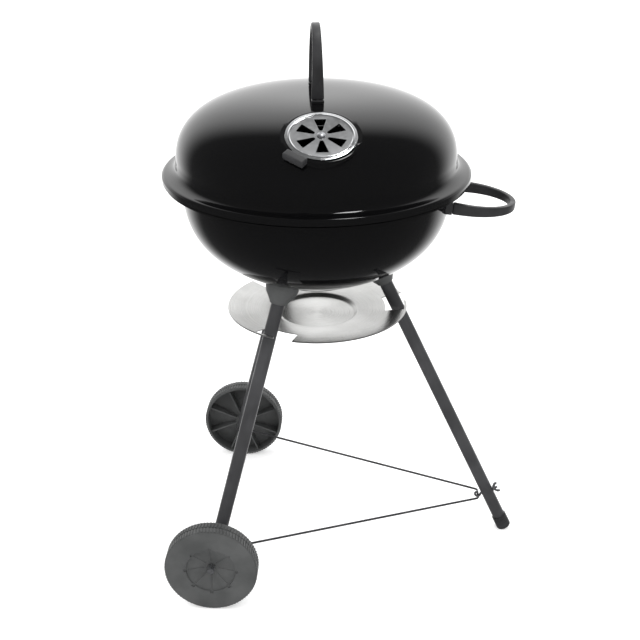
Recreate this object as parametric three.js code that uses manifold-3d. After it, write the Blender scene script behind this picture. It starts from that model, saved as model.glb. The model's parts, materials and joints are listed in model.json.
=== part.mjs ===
// Kettle charcoal grill: domed lid and deep bowl on a tripod of tubes with two wheels.
// Millimetres, +Z up. The lid handle, the lid vent and the foot leg each have their own heading.
import * as THREE from 'three';
import { mergeVertices } from 'three/addons/utils/BufferGeometryUtils.js';
import Module from 'manifold-3d';

const wasm = await Module();
wasm.setup();

// ---- Driving dimensions -------------------------------------------------------------------

const gap = 0.3; // clearance between two pieces that touch
const holeClearance = 0.4; // added to a screw's radius for the hole it passes through
const sheet = 1.5; // wall of the lid and the bowl

// Kettle
const rimHeight = 616.3; // the parting plane between lid and bowl, above the ground
const lidRimRadius = 225;
const lidRimLip = 9; // height of the turned-down edge of the lid
const lidWallRadius = 200.1; // where the dome would meet the parting plane
const lidFlare = 0.2142; // the dome widens this much for each millimetre it rises
const lidHeight = 115.3; // dome above the parting plane
const lidShoulder = { side: 3.014, crown: 2.226 }; // powers of the dome's superellipse
const lidFlangeRise = 20; // height at which the flange meets the dome's wall
const bowlWallRadius = 194.8;
const bowlDepth = 163.9; // depth the bowl's curve aims for
const bowlShoulder = { side: 1.517, crown: 2.961 };
const bowlRimDrop = 6; // the bowl's curve starts this far below the parting plane
const bowlCreaseRadius = 118; // the curved wall ends in a crease, then a shallow cone
const bowlPanRadius = 68; // flat bottom inside the cone
const bowlPanDrop = 162.5; // flat bottom below the parting plane
const bowlRimOverhang = 1.5; // the bowl's rim stops this far inside the lid's

// Vents
const ventRadius = 48; // chrome shutter on the lid
const bowlVentRadius = 50; // shutter under the bowl
const ventSheet = 1.2;
const ventHoles = 6;
const ventHoleInner = 10;
const ventHoleOuter = 33.6;
const ventHoleNarrow = 4.2; // width at the inner end
const ventHoleWide = 17; // width at the outer end
const ventShellInset = 0.5; // the holes in the shell are this much smaller all round
const ventRivetRadius = 3;
const ventRivetHead = 6;
const ventTabWidth = 24;
const ventTabReach = 14; // the tab stands this far out of the shutter's edge
const ventGrip = { length: 33, depth: 13, height: 10 };
const lidVentSeat = { radius: 148, height: 93.2, tilt: 23.5, pad: 54 };
const lidTurn = 5.7; // degrees the lid is turned about the kettle's axis
const lidGripAngle = 231; // where the grip sits round the lid vent, in degrees
const bowlGripAngle = 180;

// Loop handles
const handleLength = 94.5;
const handleHalfSpan = 50; // centre of the loop to the middle of one arm at its root
const handleStrap = 8.5; // thickness in the loop's plane
const handleRootWidth = 17.5;
const handleTipWidth = 12;
const handleBulge = 3.2; // how far each arm bows outwards
const handleScrewRadius = 2.5;
const handleScrewHead = { radius: 5.5, height: 2.6 };
const handleScrewBite = 16; // screw length inside the arm
const lidPadThickness = 2.8;
const bowlBlockThickness = 11;
const bowlHandleDrop = 38.5; // middle of the handle's root below the parting plane
const bowlHandleTilt = 6; // degrees that the handle droops

// Stand
const tubeRadius = 10;
const tubeWall = 1.2;
const legSeatRadius = 92; // where each leg meets the bowl
const footReach = 310; // where the foot leg's axis would meet the ground
const wheelRadius = 69.6;
const wheelWidth = 27.4;
const wheelTrack = 234; // kettle axis plane to the outer face of a wheel
const dishDepth = 12; // depth of the dish in a wheel's outer face
const hubInset = 0.9; // the hub stops this far inside the inner face
const axleX = -148;
const axleRadius = 4;
const wheelLegY = 193; // side position of a wheel leg's axis at the axle
const legTipBelowAxle = 13;
const socketHeight = 27;
const socketRadius = 24.5;
const socketMouth = 12.6;
const socketFloor = 9; // solid depth under the bowl before the tube starts
const socketBury = 8; // the socket is made this far above its seat, then cut to fit the bowl
const legScrewRadius = 3;
const legScrewHead = { radius: 7, height: 3 };
const legPlugLength = 14;
const footCapLength = 24;
const footCapWall = 1.4;
const footCapSole = 5; // solid end of the cap
const footFlat = 8; // how far the flat on the ground reaches across the cap's end
const washerRadius = 8.2;
const washerThickness = 1.6;
const axleCap = { radius: 5.4, length: 9 };

// Brace
const wireRadius = 1.75;
const braceHeight = 70; // hook bolt on the foot leg above the ground
const braceApexHalf = 13; // half the short straight at the brace's point
const braceStandoff = 16; // leg axis to the wire's short straight
const braceEyeInset = 13; // wheel leg axis to the middle of a brace eye, along the axle
const eyeRadius = 6.6; // middle of the wire in the eye round the axle
const hookRadius = 2;
const wingNut = { radius: 4.4, height: 5, span: 19, thick: 2 };

// Ash tray
const trayHeight = 403; // rim of the tray
const traySheet = 1.2;
const trayStrip = 3.6; // sheet left outside a slot
const trayDish = 15; // depth of the tray
const trayRecessRadius = 61;
const trayRecess = 5;
const trayMouthOffset = 2.2; // degrees between a leg's side and the slot's mouth
const trayMouthSpare = 1.8; // degrees of room a leg has in the mouth

// Grates
const grateWire = 2; // radius of a bar
const grateRing = 3; // radius of the outer ring's wire
const grateDrop = 50; // cooking grate's ring below the parting plane
const grateSideClearance = 3.2;
const grateBars = 13;
const charcoalRadius = 150;
const charcoalBars = 8;
const supportTab = { width: 18, reach: 15, thick: 2.4 };

// ---- Materials ----------------------------------------------------------------------------

function material(color, roughness, metalness) {
	return new THREE.MeshStandardMaterial({ color, roughness, metalness });
}

const enamel = material(0x101112, 0.08, 0.1);
const chrome = material(0xd8dadc, 0.12, 1);
const blackPlastic = material(0x2c2d2e, 0.45, 0);
const greyPlastic = material(0x3f4141, 0.5, 0);
const tubeFinish = material(0x3a3b3c, 0.4, 0.4);
const zinc = material(0xa9adb0, 0.35, 1);
const brushed = material(0xcfcfcd, 0.32, 1);
const darkWire = material(0x4a4b4c, 0.4, 0.7);
const grateFinish = material(0x9c9fa1, 0.3, 1);

// ---- Solids -------------------------------------------------------------------------------

// How finely round pieces are cut: the kettle, a wheel, a tube, a screw and a wire.
const kettleSides = 36;
const wheelSides = 32;
const tubeSides = 20;
const screwSides = 12;
const wireSides = 6;

// Merge a geometry into one closed body whose faces point out.
function closed(geometry) {
	const plain = new THREE.BufferGeometry();
	plain.setAttribute('position', geometry.getAttribute('position').clone());
	if (geometry.index) plain.setIndex(geometry.index.clone());
	const merged = mergeVertices(plain, 1e-4);
	const place = merged.getAttribute('position');
	const kept = [];
	let volume = 0;
	const a = new THREE.Vector3();
	const b = new THREE.Vector3();
	const c = new THREE.Vector3();
	for (let i = 0; i < merged.index.count; i += 3) {
		const [p, q, r] = [0, 1, 2].map((step) => merged.index.getX(i + step));
		if (p === q || q === r || r === p) continue;
		kept.push(p, q, r);
		a.fromBufferAttribute(place, p);
		b.fromBufferAttribute(place, q);
		c.fromBufferAttribute(place, r);
		volume += a.dot(b.cross(c));
	}
	if (volume < 0) kept.reverse();
	merged.setIndex(kept);
	return merged;
}

function toManifold(geometry) {
	const body = closed(geometry);
	const mesh = new wasm.Mesh({
		numProp: 3,
		vertProperties: new Float32Array(body.getAttribute('position').array),
		triVerts: new Uint32Array(body.index.array),
	});
	return new wasm.Manifold(mesh);
}

function toGeometry(manifold) {
	const mesh = manifold.getMesh();
	const geometry = new THREE.BufferGeometry();
	geometry.setAttribute('position', new THREE.BufferAttribute(mesh.vertProperties, 3));
	geometry.setIndex(new THREE.BufferAttribute(mesh.triVerts, 1));
	return geometry;
}

function cut(geometry, ...tools) {
	let body = toManifold(geometry);
	for (const tool of tools) body = body.subtract(toManifold(tool));
	return toGeometry(body);
}

function join(...geometries) {
	let body = toManifold(geometries[0]);
	for (const other of geometries.slice(1)) body = body.add(toManifold(other));
	return toGeometry(body);
}

// Turn a closed outline of [radius, height] points about +Z.
function turned(outline, segments = screwSides) {
	const points = outline.map(([radius, height]) => new THREE.Vector2(radius, height));
	const geometry = new THREE.LatheGeometry(points, segments);
	geometry.rotateX(Math.PI / 2);
	return closed(geometry);
}

function rod(radius, bottom, top, segments = screwSides) {
	return turned([[0, bottom], [radius, bottom], [radius, top], [0, top]], segments);
}

function ring(inner, outer, bottom, top, segments = tubeSides) {
	const outline = [[inner, bottom], [outer, bottom], [outer, top], [inner, top], [inner, bottom]];
	return turned(outline, segments);
}

function box(width, depth, bottom, top) {
	const geometry = new THREE.BoxGeometry(width, depth, top - bottom);
	geometry.translate(0, 0, (top + bottom) / 2);
	return geometry;
}

// Extrude a flat outline in X and Y from one height to another.
function plate(outline, bottom, top) {
	const shape = new THREE.Shape(outline.map(([x, y]) => new THREE.Vector2(x, y)));
	const geometry = new THREE.ExtrudeGeometry(shape, { depth: top - bottom, bevelEnabled: false });
	geometry.translate(0, 0, bottom);
	return geometry;
}

// Round wire along a curve.
function wire(curve, radius, steps, sides = wireSides) {
	const section = new THREE.Shape();
	section.absarc(0, 0, radius, 0, 2 * Math.PI);
	const settings = { steps, curveSegments: sides, bevelEnabled: false, extrudePath: curve };
	return new THREE.ExtrudeGeometry(section, settings);
}

function turnedCopy(geometry, angle) {
	return geometry.clone().rotateZ(THREE.MathUtils.degToRad(angle));
}

// ---- Outlines of the kettle ---------------------------------------------------------------

// Offset an outline to its left by a distance: inwards on a lid, outwards on a bowl.
function offsetOutline(outline, distance) {
	return outline.map(([radius, height], index) => {
		const before = outline[Math.max(index - 1, 0)];
		const after = outline[Math.min(index + 1, outline.length - 1)];
		const along = new THREE.Vector2(after[0] - before[0], after[1] - before[1]).normalize();
		const moved = [radius - along.y * distance, height + along.x * distance];
		if (radius === 0) moved[0] = 0;
		return moved;
	});
}

// A quarter superellipse from the wall to the axis, as [radius, rise] pairs.
function shoulderCurve(radius, rise, powers, steps) {
	const points = [];
	for (let step = 0; step <= steps; step += 1) {
		const angle = (step / steps) * (Math.PI / 2);
		const across = Math.max(Math.cos(angle), 0) ** (2 / powers.side);
		const up = Math.sin(angle) ** (2 / powers.crown);
		points.push([radius * across, rise * up]);
	}
	points[points.length - 1][0] = 0;
	return points;
}

// Height of an outline at a radius, between its two nearest points.
function heightAt(outline, radius) {
	for (let i = 1; i < outline.length; i += 1) {
		const [outerRadius, outerHeight] = outline[i - 1];
		const [innerRadius, innerHeight] = outline[i];
		if (innerRadius > radius || outerRadius <= innerRadius) continue;
		const share = (outerRadius - radius) / (outerRadius - innerRadius);
		return outerHeight + share * (innerHeight - outerHeight);
	}
	return outline[outline.length - 1][1];
}

// Outer radius of an outline at a height.
function radiusAt(outline, height) {
	let widest = 0;
	for (let i = 1; i < outline.length; i += 1) {
		const [radiusA, heightA] = outline[i - 1];
		const [radiusB, heightB] = outline[i];
		if ((heightA - height) * (heightB - height) > 0 || heightA === heightB) continue;
		const share = (height - heightA) / (heightB - heightA);
		widest = Math.max(widest, radiusA + share * (radiusB - radiusA));
	}
	return widest;
}

const lidDome = shoulderCurve(lidWallRadius, lidHeight, lidShoulder, 10)
	.map(([radius, rise]) => [radius * (1 + (lidFlare * rise) / lidWallRadius), rise])
	.filter(([, rise]) => rise > lidFlangeRise);
const lidFlangeRoot = lidDome[0][0];
const lidFlangeWidth = lidRimRadius - lidFlangeRoot;
// The flange flares out of the wall in a hollow curve and turns down at its edge.
const lidFlange = [
	[0, -lidRimLip / 2],
	[0, 0.6],
	[0.05, 3],
	[0.15, 4.7],
	[0.4, 6.0],
	[0.62, 7.6],
	[0.8, 10],
	[0.93, 14],
].map(([share, rise]) => [lidRimRadius - share * lidFlangeWidth, rise]);
const lidOutline = [...lidFlange, ...lidDome].map(([radius, rise]) => [radius, rimHeight + rise]);

// The bowl's outline follows the underside of its sheet.
const bowlRimRadius = lidRimRadius - bowlRimOverhang - sheet;
const bowlRimTop = -lidRimLip / 2 - gap - 0.3 - sheet;
const bowlWall = shoulderCurve(bowlWallRadius, bowlDepth, bowlShoulder, 10)
	.map(([radius, drop]) => [radius, -bowlRimDrop - drop])
	.filter(([radius, rise]) => radius > bowlCreaseRadius && rise < -14);
const bowlFlangeWidth = bowlRimRadius - bowlWallRadius;
// The rim rises to a rounded bead inside the lid, then slopes out to a flat flange.
const bowlFlange = [
	[0, bowlRimTop - 2.6],
	[0, bowlRimTop],
	[0.4, bowlRimTop + 0.4],
	[0.68, bowlRimTop + 2.6],
	[0.82, 1.6],
	[0.91, 3],
	[1, 1.6],
	[1.02, -3],
].map(([share, rise]) => [bowlRimRadius - share * bowlFlangeWidth, rise]);
const bowlBase = [[bowlPanRadius, -bowlPanDrop], [bowlPanRadius * 0.5, -bowlPanDrop], [0, -bowlPanDrop]];
const bowlOutline = [...bowlFlange, ...bowlWall, ...bowlBase]
	.map(([radius, rise]) => [radius, rimHeight + rise]);
const bowlInner = offsetOutline(bowlOutline, -sheet);
// The bowl below its rim, without the flange.
const bowlBody = [[bowlWallRadius, rimHeight], ...bowlOutline.slice(bowlFlange.length)];

// The sheet between an outline and its offset.
function sheetBetween(outline, inner, segments) {
	return turned([...outline, ...inner.slice().reverse(), outline[0]], segments);
}

// All that lies under an outline, for cutting a neighbour to fit it.
function filled(outline, segments) {
	const edge = outline[0];
	return turned([[0, edge[1]], ...outline], segments);
}

// ---- Vents --------------------------------------------------------------------------------

// One ring of wedge-shaped holes round +Z.
function ventWedges(inset, bottom, top, turn = 0) {
	const inner = ventHoleInner + inset;
	const outer = ventHoleOuter - inset;
	const narrow = ventHoleNarrow / 2 - inset / 2;
	const wide = ventHoleWide / 2 - inset;
	const outline = [[inner, -narrow], [outer - 1, -wide], [outer, 0], [outer - 1, wide], [inner, narrow]];
	const wedges = [];
	for (let hole = 0; hole < ventHoles; hole += 1) {
		const wedge = plate(outline, bottom, top);
		wedges.push(turnedCopy(wedge, turn + (360 / ventHoles) * hole));
	}
	return wedges;
}

const ventGripCentre = (radius) => radius + ventTabReach - ventGrip.depth / 2 + 2;

// A shutter lies on z = 0, with its tab towards gripAngle and its holes from holeTurn.
function shutterDisc(radius, gripAngle, holeTurn) {
	const disc = rod(radius, 0, ventSheet, kettleSides);
	const reach = radius + ventTabReach;
	const tab = box(reach - radius / 2, ventTabWidth, 0, ventSheet).translate((reach + radius / 2) / 2, 0, 0);
	const whole = join(disc, turnedCopy(tab, gripAngle));
	const pivot = rod(ventRivetRadius + holeClearance, -1, ventSheet + 1);
	return cut(whole, pivot, ...ventWedges(0, -1, ventSheet + 1, holeTurn));
}

// A moulded grip pushed over the tab: the tab fills its slot, and its foot clears the seat.
function shutterGrip(radius, gripAngle, seatRadius) {
	const low = -ventGrip.height / 2 + ventSheet;
	const high = ventGrip.height / 2 + ventSheet;
	const chamfer = 2.5;
	const halfDepth = ventGrip.depth / 2;
	const side = [
		[-halfDepth, low + chamfer],
		[-halfDepth, high - chamfer],
		[-halfDepth + chamfer, high],
		[halfDepth - chamfer, high],
		[halfDepth, high - chamfer],
		[halfDepth, low + chamfer],
		[halfDepth - chamfer, low],
		[-halfDepth + chamfer, low],
	];
	const body = plate(side, -ventGrip.length / 2, ventGrip.length / 2);
	body.rotateX(Math.PI / 2);
	body.translate(ventGripCentre(radius), 0, 0);
	const slot = box(2 * (radius + ventTabReach + gap), ventTabWidth + 2 * gap, -gap, ventSheet + gap);
	const seat = rod(seatRadius + 2 * gap, low - 1, -gap / 2, kettleSides);
	return turnedCopy(cut(body, slot, seat), gripAngle);
}

// The rivet's shank passes through the shutter and the shell; a head on each side.
function ventRivet(headBottom, shellTop) {
	const foot = shellTop - sheet - gap;
	const head = headBottom + gap;
	return turned([
		[0, foot - 1.6],
		[ventRivetHead - 1, foot - 1.6],
		[ventRivetHead - 1, foot],
		[ventRivetRadius, foot],
		[ventRivetRadius, head],
		[ventRivetHead, head],
		[ventRivetHead - 1.2, head + 1.6],
		[ventRivetHead - 3.5, head + 2.4],
		[0, head + 2.4],
	]);
}

// ---- Lid ----------------------------------------------------------------------------------

const kettle = new THREE.Group();

function add(parent, name, geometry, finish) {
	const mesh = new THREE.Mesh(closed(geometry), finish);
	mesh.name = name;
	parent.add(mesh);
	return mesh;
}

const lid = new THREE.Group();
lid.rotation.z = THREE.MathUtils.degToRad(lidTurn);
kettle.add(lid);

// Frame of the lid's vent: +Z along the vent's axis, +X across, -Y down the slope.
const lidVentFrame = new THREE.Group();
lidVentFrame.position.set(0, -lidVentSeat.radius, rimHeight + lidVentSeat.height);
lidVentFrame.rotation.x = THREE.MathUtils.degToRad(lidVentSeat.tilt);
lidVentFrame.updateMatrix();
lid.add(lidVentFrame);

function inFrame(geometry, frame) {
	return geometry.clone().applyMatrix4(frame.matrix);
}

function buildLidShell() {
	const padDepth = 30;
	const padSky = 40;
	const clear = inFrame(rod(lidVentSeat.pad, 0, padSky, kettleSides), lidVentFrame);
	const edge = 3;
	const puck = inFrame(turned([
		[0, -padDepth],
		[lidVentSeat.pad, -padDepth],
		[lidVentSeat.pad, -edge],
		[lidVentSeat.pad - edge, 0],
		[0, 0],
	], kettleSides), lidVentFrame);
	const innerPad = lidVentSeat.pad - sheet;
	const clearInner = inFrame(rod(innerPad, -sheet, padSky, kettleSides), lidVentFrame);
	const puckInner = inFrame(rod(innerPad - 1, -padDepth, -sheet, kettleSides), lidVentFrame);
	const lidInner = offsetOutline(lidOutline, sheet);
	lidInner[0] = [lidOutline[0][0] - sheet, lidOutline[0][1] - 0.01];
	const outside = toManifold(filled(lidOutline, kettleSides));
	const inside = toManifold(filled(lidInner, kettleSides));
	const shell = outside.subtract(toManifold(clear)).add(toManifold(puck))
		.subtract(inside.subtract(toManifold(clearInner)).add(toManifold(puckInner)));
	let body = shell;
	const holeTools = [
		...ventWedges(ventShellInset, -sheet - 6, 6, 90),
		rod(ventRivetRadius + holeClearance, -sheet - 6, 6),
	];
	for (const tool of holeTools) body = body.subtract(toManifold(inFrame(tool, lidVentFrame)));
	for (const side of [-1, 1]) {
		const screw = rod(handleScrewRadius + holeClearance, rimHeight, rimHeight + lidHeight + 30);
		body = body.subtract(toManifold(screw.translate(0, side * handleHalfSpan, 0)));
	}
	return toGeometry(body);
}

add(lid, 'lid_shell', buildLidShell(), enamel);

const lidShutterLift = gap;
const lidVent = new THREE.Group();
lidVent.position.z = lidShutterLift;
lidVentFrame.add(lidVent);
add(lidVent, 'lid_vent_disc', shutterDisc(ventRadius, lidGripAngle, 90), chrome);
add(lidVent, 'lid_vent_grip', shutterGrip(ventRadius, lidGripAngle, lidVentSeat.pad), blackPlastic);
add(lidVentFrame, 'lid_vent_rivet', ventRivet(lidShutterLift + ventSheet, 0), zinc);

// ---- Handles ------------------------------------------------------------------------------

// The loop lies in Y and Z: its two arms start at z = 0 and meet in a round end.
function handleCentreLine(steps) {
	const points = [];
	const straight = handleLength * 0.3;
	const round = handleLength - handleStrap / 2 - straight;
	const widest = handleHalfSpan + handleBulge;
	const rise = 4;
	for (let step = 0; step < rise; step += 1) {
		const share = step / rise;
		const bow = handleBulge * Math.sin((share * Math.PI) / 2);
		points.push([-(handleHalfSpan + bow), straight * share]);
	}
	for (let step = 0; step <= steps; step += 1) {
		const angle = (step / steps) * Math.PI;
		points.push([-widest * Math.cos(angle), straight + round * Math.sin(angle)]);
	}
	for (let step = rise - 1; step >= 0; step -= 1) {
		const [across, up] = points[step];
		points.push([-across, up]);
	}
	return points;
}

function loopHandle() {
	const line = handleCentreLine(14);
	const sides = [-1, 1].map((side) => offsetOutline(line, (side * handleStrap) / 2));
	for (const side of sides) {
		side[0][1] = 0;
		side[side.length - 1][1] = 0;
	}
	const outline = [...sides[1], ...sides[0].slice().reverse()];
	const strap = plate(outline, -handleRootWidth / 2, handleRootWidth / 2);
	strap.rotateX(Math.PI / 2);
	strap.rotateZ(Math.PI / 2);
	const place = strap.getAttribute('position');
	for (let i = 0; i < place.count; i += 1) {
		const share = THREE.MathUtils.clamp(place.getZ(i) / handleLength, 0, 1);
		const width = THREE.MathUtils.lerp(handleRootWidth, handleTipWidth, share) / handleRootWidth;
		place.setX(i, place.getX(i) * width);
	}
	const bores = [-1, 1].map((side) => {
		const bore = rod(handleScrewRadius + holeClearance, -5, handleScrewBite + 1);
		return bore.translate(0, side * handleHalfSpan, 0);
	});
	return cut(strap, ...bores);
}

// Screw up into an arm: its head is below, at headTop, and its shank ends inside the arm.
function handleScrew(headTop) {
	return turned([
		[0, headTop - handleScrewHead.height],
		[handleScrewHead.radius - 1, headTop - handleScrewHead.height],
		[handleScrewHead.radius, headTop - handleScrewHead.height + 1],
		[handleScrewHead.radius, headTop],
		[handleScrewRadius, headTop],
		[handleScrewRadius, handleScrewBite],
		[0, handleScrewBite],
	]);
}

function standoff(depth, width, bottom) {
	const block = box(depth, width, bottom, -gap);
	const bore = rod(handleScrewRadius + holeClearance, bottom - 1, 1);
	return cut(block, bore);
}

const sideNames = ['front', 'back'];

function buildLidHandle() {
	const crown = heightAt(lidOutline, handleHalfSpan + handleStrap / 2);
	const root = new THREE.Group();
	root.position.z = crown + lidPadThickness + gap;
	root.updateMatrix();
	lid.add(root);
	add(root, 'lid_handle', loopHandle(), blackPlastic);
	const cover = filled(offsetOutline(lidOutline, -gap), kettleSides).translate(0, 0, -root.position.z);
	const inside = heightAt(offsetOutline(lidOutline, sheet), handleHalfSpan + handleScrewHead.radius);
	[-1, 1].forEach((side, index) => {
		const pad = standoff(handleRootWidth, handleStrap + 3, -lidPadThickness - 4);
		pad.translate(0, side * handleHalfSpan, 0);
		add(root, `lid_handle_pad_${sideNames[index]}`, cut(pad, cover), blackPlastic);
		const screw = handleScrew(inside - root.position.z - gap - 0.2);
		screw.translate(0, side * handleHalfSpan, 0);
		add(root, `lid_handle_screw_${sideNames[index]}`, screw, zinc);
	});
}

buildLidHandle();

// ---- Bowl ---------------------------------------------------------------------------------

// Frame of the bowl handle: its arms leave the wall along the frame's +Z, towards +X.
const bowlHandleFrame = new THREE.Group();
const bowlHandleWall = radiusAt(bowlOutline, rimHeight - bowlHandleDrop);
const bowlHandleChord = Math.sqrt(bowlHandleWall ** 2 - handleHalfSpan ** 2);
bowlHandleFrame.position.set(bowlHandleChord + bowlBlockThickness, 0, rimHeight - bowlHandleDrop);
bowlHandleFrame.rotation.y = Math.PI / 2 + THREE.MathUtils.degToRad(bowlHandleTilt);
bowlHandleFrame.updateMatrix();
kettle.add(bowlHandleFrame);

// Frames of the three legs: +Z runs down the tube from its seat on the bowl.
const bowlFilled = filled(offsetOutline(bowlBody, gap), kettleSides);
const bowlSeatHeight = heightAt(bowlOutline, legSeatRadius);
const legAims = {
	foot: { seatAngle: 0, tip: new THREE.Vector3(footReach, 0, 0) },
	front: { seatAngle: -120, tip: new THREE.Vector3(axleX, -wheelLegY, wheelRadius) },
	back: { seatAngle: 120, tip: new THREE.Vector3(axleX, wheelLegY, wheelRadius) },
};

function makeLegFrame({ seatAngle, tip }) {
	const angle = THREE.MathUtils.degToRad(seatAngle);
	const frame = new THREE.Group();
	frame.position.set(legSeatRadius * Math.cos(angle), legSeatRadius * Math.sin(angle), bowlSeatHeight);
	const along = tip.clone().sub(frame.position);
	const reach = along.length();
	frame.quaternion.setFromUnitVectors(new THREE.Vector3(0, 0, 1), along.normalize());
	frame.updateMatrix();
	kettle.add(frame);
	return { frame, along, reach };
}

const legs = Object.fromEntries(Object.entries(legAims).map(([name, aim]) => [name, makeLegFrame(aim)]));

function legPointAt({ frame, along }, height) {
	const distance = (height - frame.position.z) / along.z;
	return frame.position.clone().addScaledVector(along, distance);
}

function intoFrame(geometry, frame) {
	return geometry.clone().applyMatrix4(frame.matrix.clone().invert());
}

const panHeight = rimHeight - bowlPanDrop;

function buildBowlShell() {
	const shell = sheetBetween(bowlOutline, bowlInner, kettleSides);
	const tools = [rod(ventRivetRadius + holeClearance, panHeight - 5, panHeight + 9)];
	tools.push(...ventWedges(ventShellInset, panHeight - 5, panHeight + 9, 0));
	for (const { frame } of Object.values(legs)) {
		tools.push(inFrame(rod(legScrewRadius + holeClearance, -12, 12), frame));
	}
	for (const side of [-1, 1]) {
		const screw = rod(handleScrewRadius + holeClearance, -40, 5).translate(0, side * handleHalfSpan, 0);
		tools.push(inFrame(screw, bowlHandleFrame));
	}
	return cut(shell, ...tools);
}

add(kettle, 'bowl_shell', buildBowlShell(), enamel);

// The handle screws' heads lie inside the bowl, clear of its curved wall.
const wallInside = radiusAt(bowlInner, rimHeight - bowlHandleDrop - handleScrewHead.radius);
const headChord = Math.sqrt(wallInside ** 2 - (handleHalfSpan + handleScrewHead.radius) ** 2);
const headLean = handleScrewHead.radius * Math.sin(THREE.MathUtils.degToRad(bowlHandleTilt));
const bowlHeadTop = headChord - bowlHandleFrame.position.x - headLean - gap;
const headInnerX = headChord - 2 * headLean - gap - handleScrewHead.height;
// How near the kettle's axis a screw's head comes.
const headReach = Math.hypot(headInnerX, handleHalfSpan - handleScrewHead.radius);

function buildBowlHandle() {
	add(bowlHandleFrame, 'bowl_handle', loopHandle(), blackPlastic);
	const cover = intoFrame(bowlFilled, bowlHandleFrame);
	[-1, 1].forEach((side, index) => {
		const block = standoff(handleRootWidth, handleStrap + 4, -bowlBlockThickness - 12);
		block.translate(0, side * handleHalfSpan, 0);
		add(bowlHandleFrame, `bowl_handle_block_${sideNames[index]}`, cut(block, cover), blackPlastic);
		const screw = handleScrew(bowlHeadTop);
		screw.translate(0, side * handleHalfSpan, 0);
		add(bowlHandleFrame, `bowl_handle_screw_${sideNames[index]}`, screw, zinc);
	});
}

buildBowlHandle();

// The shutter under the bowl hangs on its rivet, face down.
const bowlVentFrame = new THREE.Group();
bowlVentFrame.position.z = panHeight;
bowlVentFrame.rotation.x = Math.PI;
kettle.add(bowlVentFrame);
const bowlVent = new THREE.Group();
bowlVent.position.z = gap;
bowlVentFrame.add(bowlVent);
add(bowlVent, 'bowl_vent_disc', shutterDisc(bowlVentRadius, bowlGripAngle, 0), brushed);
add(bowlVent, 'bowl_vent_grip', shutterGrip(bowlVentRadius, bowlGripAngle, bowlPanRadius), blackPlastic);
add(bowlVentFrame, 'bowl_vent_rivet', ventRivet(gap + ventSheet, 0), zinc);

// ---- Grates -------------------------------------------------------------------------------

function wireRing(radius, section, segments) {
	const sides = wireSides;
	const outline = [];
	for (let side = 0; side <= sides; side += 1) {
		const angle = ((side % sides) / sides) * 2 * Math.PI;
		outline.push([radius + section * Math.cos(angle), section * Math.sin(angle)]);
	}
	return turned(outline, segments);
}

function straightBar(from, to, radius) {
	return wire(new THREE.LineCurve3(from, to), radius, 1);
}

// Parallel bars across a ring, with two cross bars under them.
function wireGrate(radius, bars) {
	const pieces = [wireRing(radius, grateRing, kettleSides)];
	const inner = radius - grateRing * 0.4;
	for (let bar = 0; bar < bars; bar += 1) {
		const across = -radius + (2 * radius * (bar + 1)) / (bars + 1);
		const half = Math.sqrt(inner ** 2 - across ** 2);
		const start = new THREE.Vector3(-half, across, grateRing * 0.3);
		const end = new THREE.Vector3(half, across, grateRing * 0.3);
		pieces.push(straightBar(start, end, grateWire));
	}
	const crossDrop = grateRing * 0.3 - grateWire * 1.5;
	for (const side of [-1, 1]) {
		const across = side * radius * 0.45;
		const half = Math.sqrt(inner ** 2 - across ** 2);
		const start = new THREE.Vector3(across, -half, crossDrop);
		const end = new THREE.Vector3(across, half, crossDrop);
		pieces.push(straightBar(start, end, grateWire));
	}
	return join(...pieces);
}

const grateHeight = rimHeight - grateDrop;
const grateLow = grateHeight - grateRing - grateWire;
// The grate lifts out past the wall and past the handle screws' heads.
const grateEdge = Math.min(radiusAt(bowlInner, grateLow) - grateSideClearance, headReach - 2 * gap);
const cookingRadius = grateEdge - grateRing;
add(kettle, 'cooking_grate', wireGrate(cookingRadius, grateBars), grateFinish).position.z = grateHeight;

const charcoalHeight = heightAt(bowlInner, charcoalRadius + grateRing) + grateRing + 2 * gap;
add(kettle, 'charcoal_grate', wireGrate(charcoalRadius, charcoalBars), darkWire).position.z = charcoalHeight;

// Three tabs fixed to the wall carry the cooking grate.
function buildSupports() {
	const top = grateLow + grateWire - gap;
	const wall = radiusAt(bowlOutline, top) + 5;
	const bowlCavity = toManifold(filled(offsetOutline(bowlBody, -sheet - gap), kettleSides));
	[90, 210, 330].forEach((angle, index) => {
		const start = radiusAt(bowlInner, top) - supportTab.reach;
		const tab = box(wall - start, supportTab.width, top - supportTab.thick, top);
		tab.translate((wall + start) / 2, 0, 0);
		const body = toManifold(turnedCopy(tab, angle)).intersect(bowlCavity);
		add(kettle, `grate_support_${index + 1}`, toGeometry(body), zinc);
	});
}

buildSupports();

// ---- Legs ---------------------------------------------------------------------------------

function socket(frame) {
	const outline = [
		[tubeRadius + gap, socketFloor],
		[tubeRadius + gap, socketHeight],
		[socketMouth, socketHeight],
		[socketMouth + 1.2, socketHeight - 3],
		[socketRadius * 0.72, socketHeight * 0.66],
		[socketRadius * 0.9, socketHeight * 0.42],
		[socketRadius - 0.6, socketHeight * 0.22],
		[socketRadius, socketHeight * 0.14],
		[socketRadius, -socketBury],
		[legScrewRadius + holeClearance, -socketBury],
		[legScrewRadius + holeClearance, socketFloor],
		[tubeRadius + gap, socketFloor],
	];
	return cut(turned(outline, tubeSides), intoFrame(bowlFilled, frame));
}

// The screw comes down through the bowl and the socket into the plug in the tube.
function legScrew() {
	const headBottom = -(sheet + 4.6);
	return turned([
		[0, headBottom - legScrewHead.height],
		[legScrewHead.radius - 1.5, headBottom - legScrewHead.height],
		[legScrewHead.radius, headBottom - legScrewHead.height + 1.5],
		[legScrewHead.radius, headBottom],
		[legScrewRadius, headBottom],
		[legScrewRadius, socketFloor + legPlugLength - 2],
		[0, socketFloor + legPlugLength - 2],
	]);
}

function tube(length, ...tools) {
	const body = ring(tubeRadius - tubeWall, tubeRadius, socketFloor + gap, length);
	return tools.length ? cut(body, ...tools) : body;
}

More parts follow.
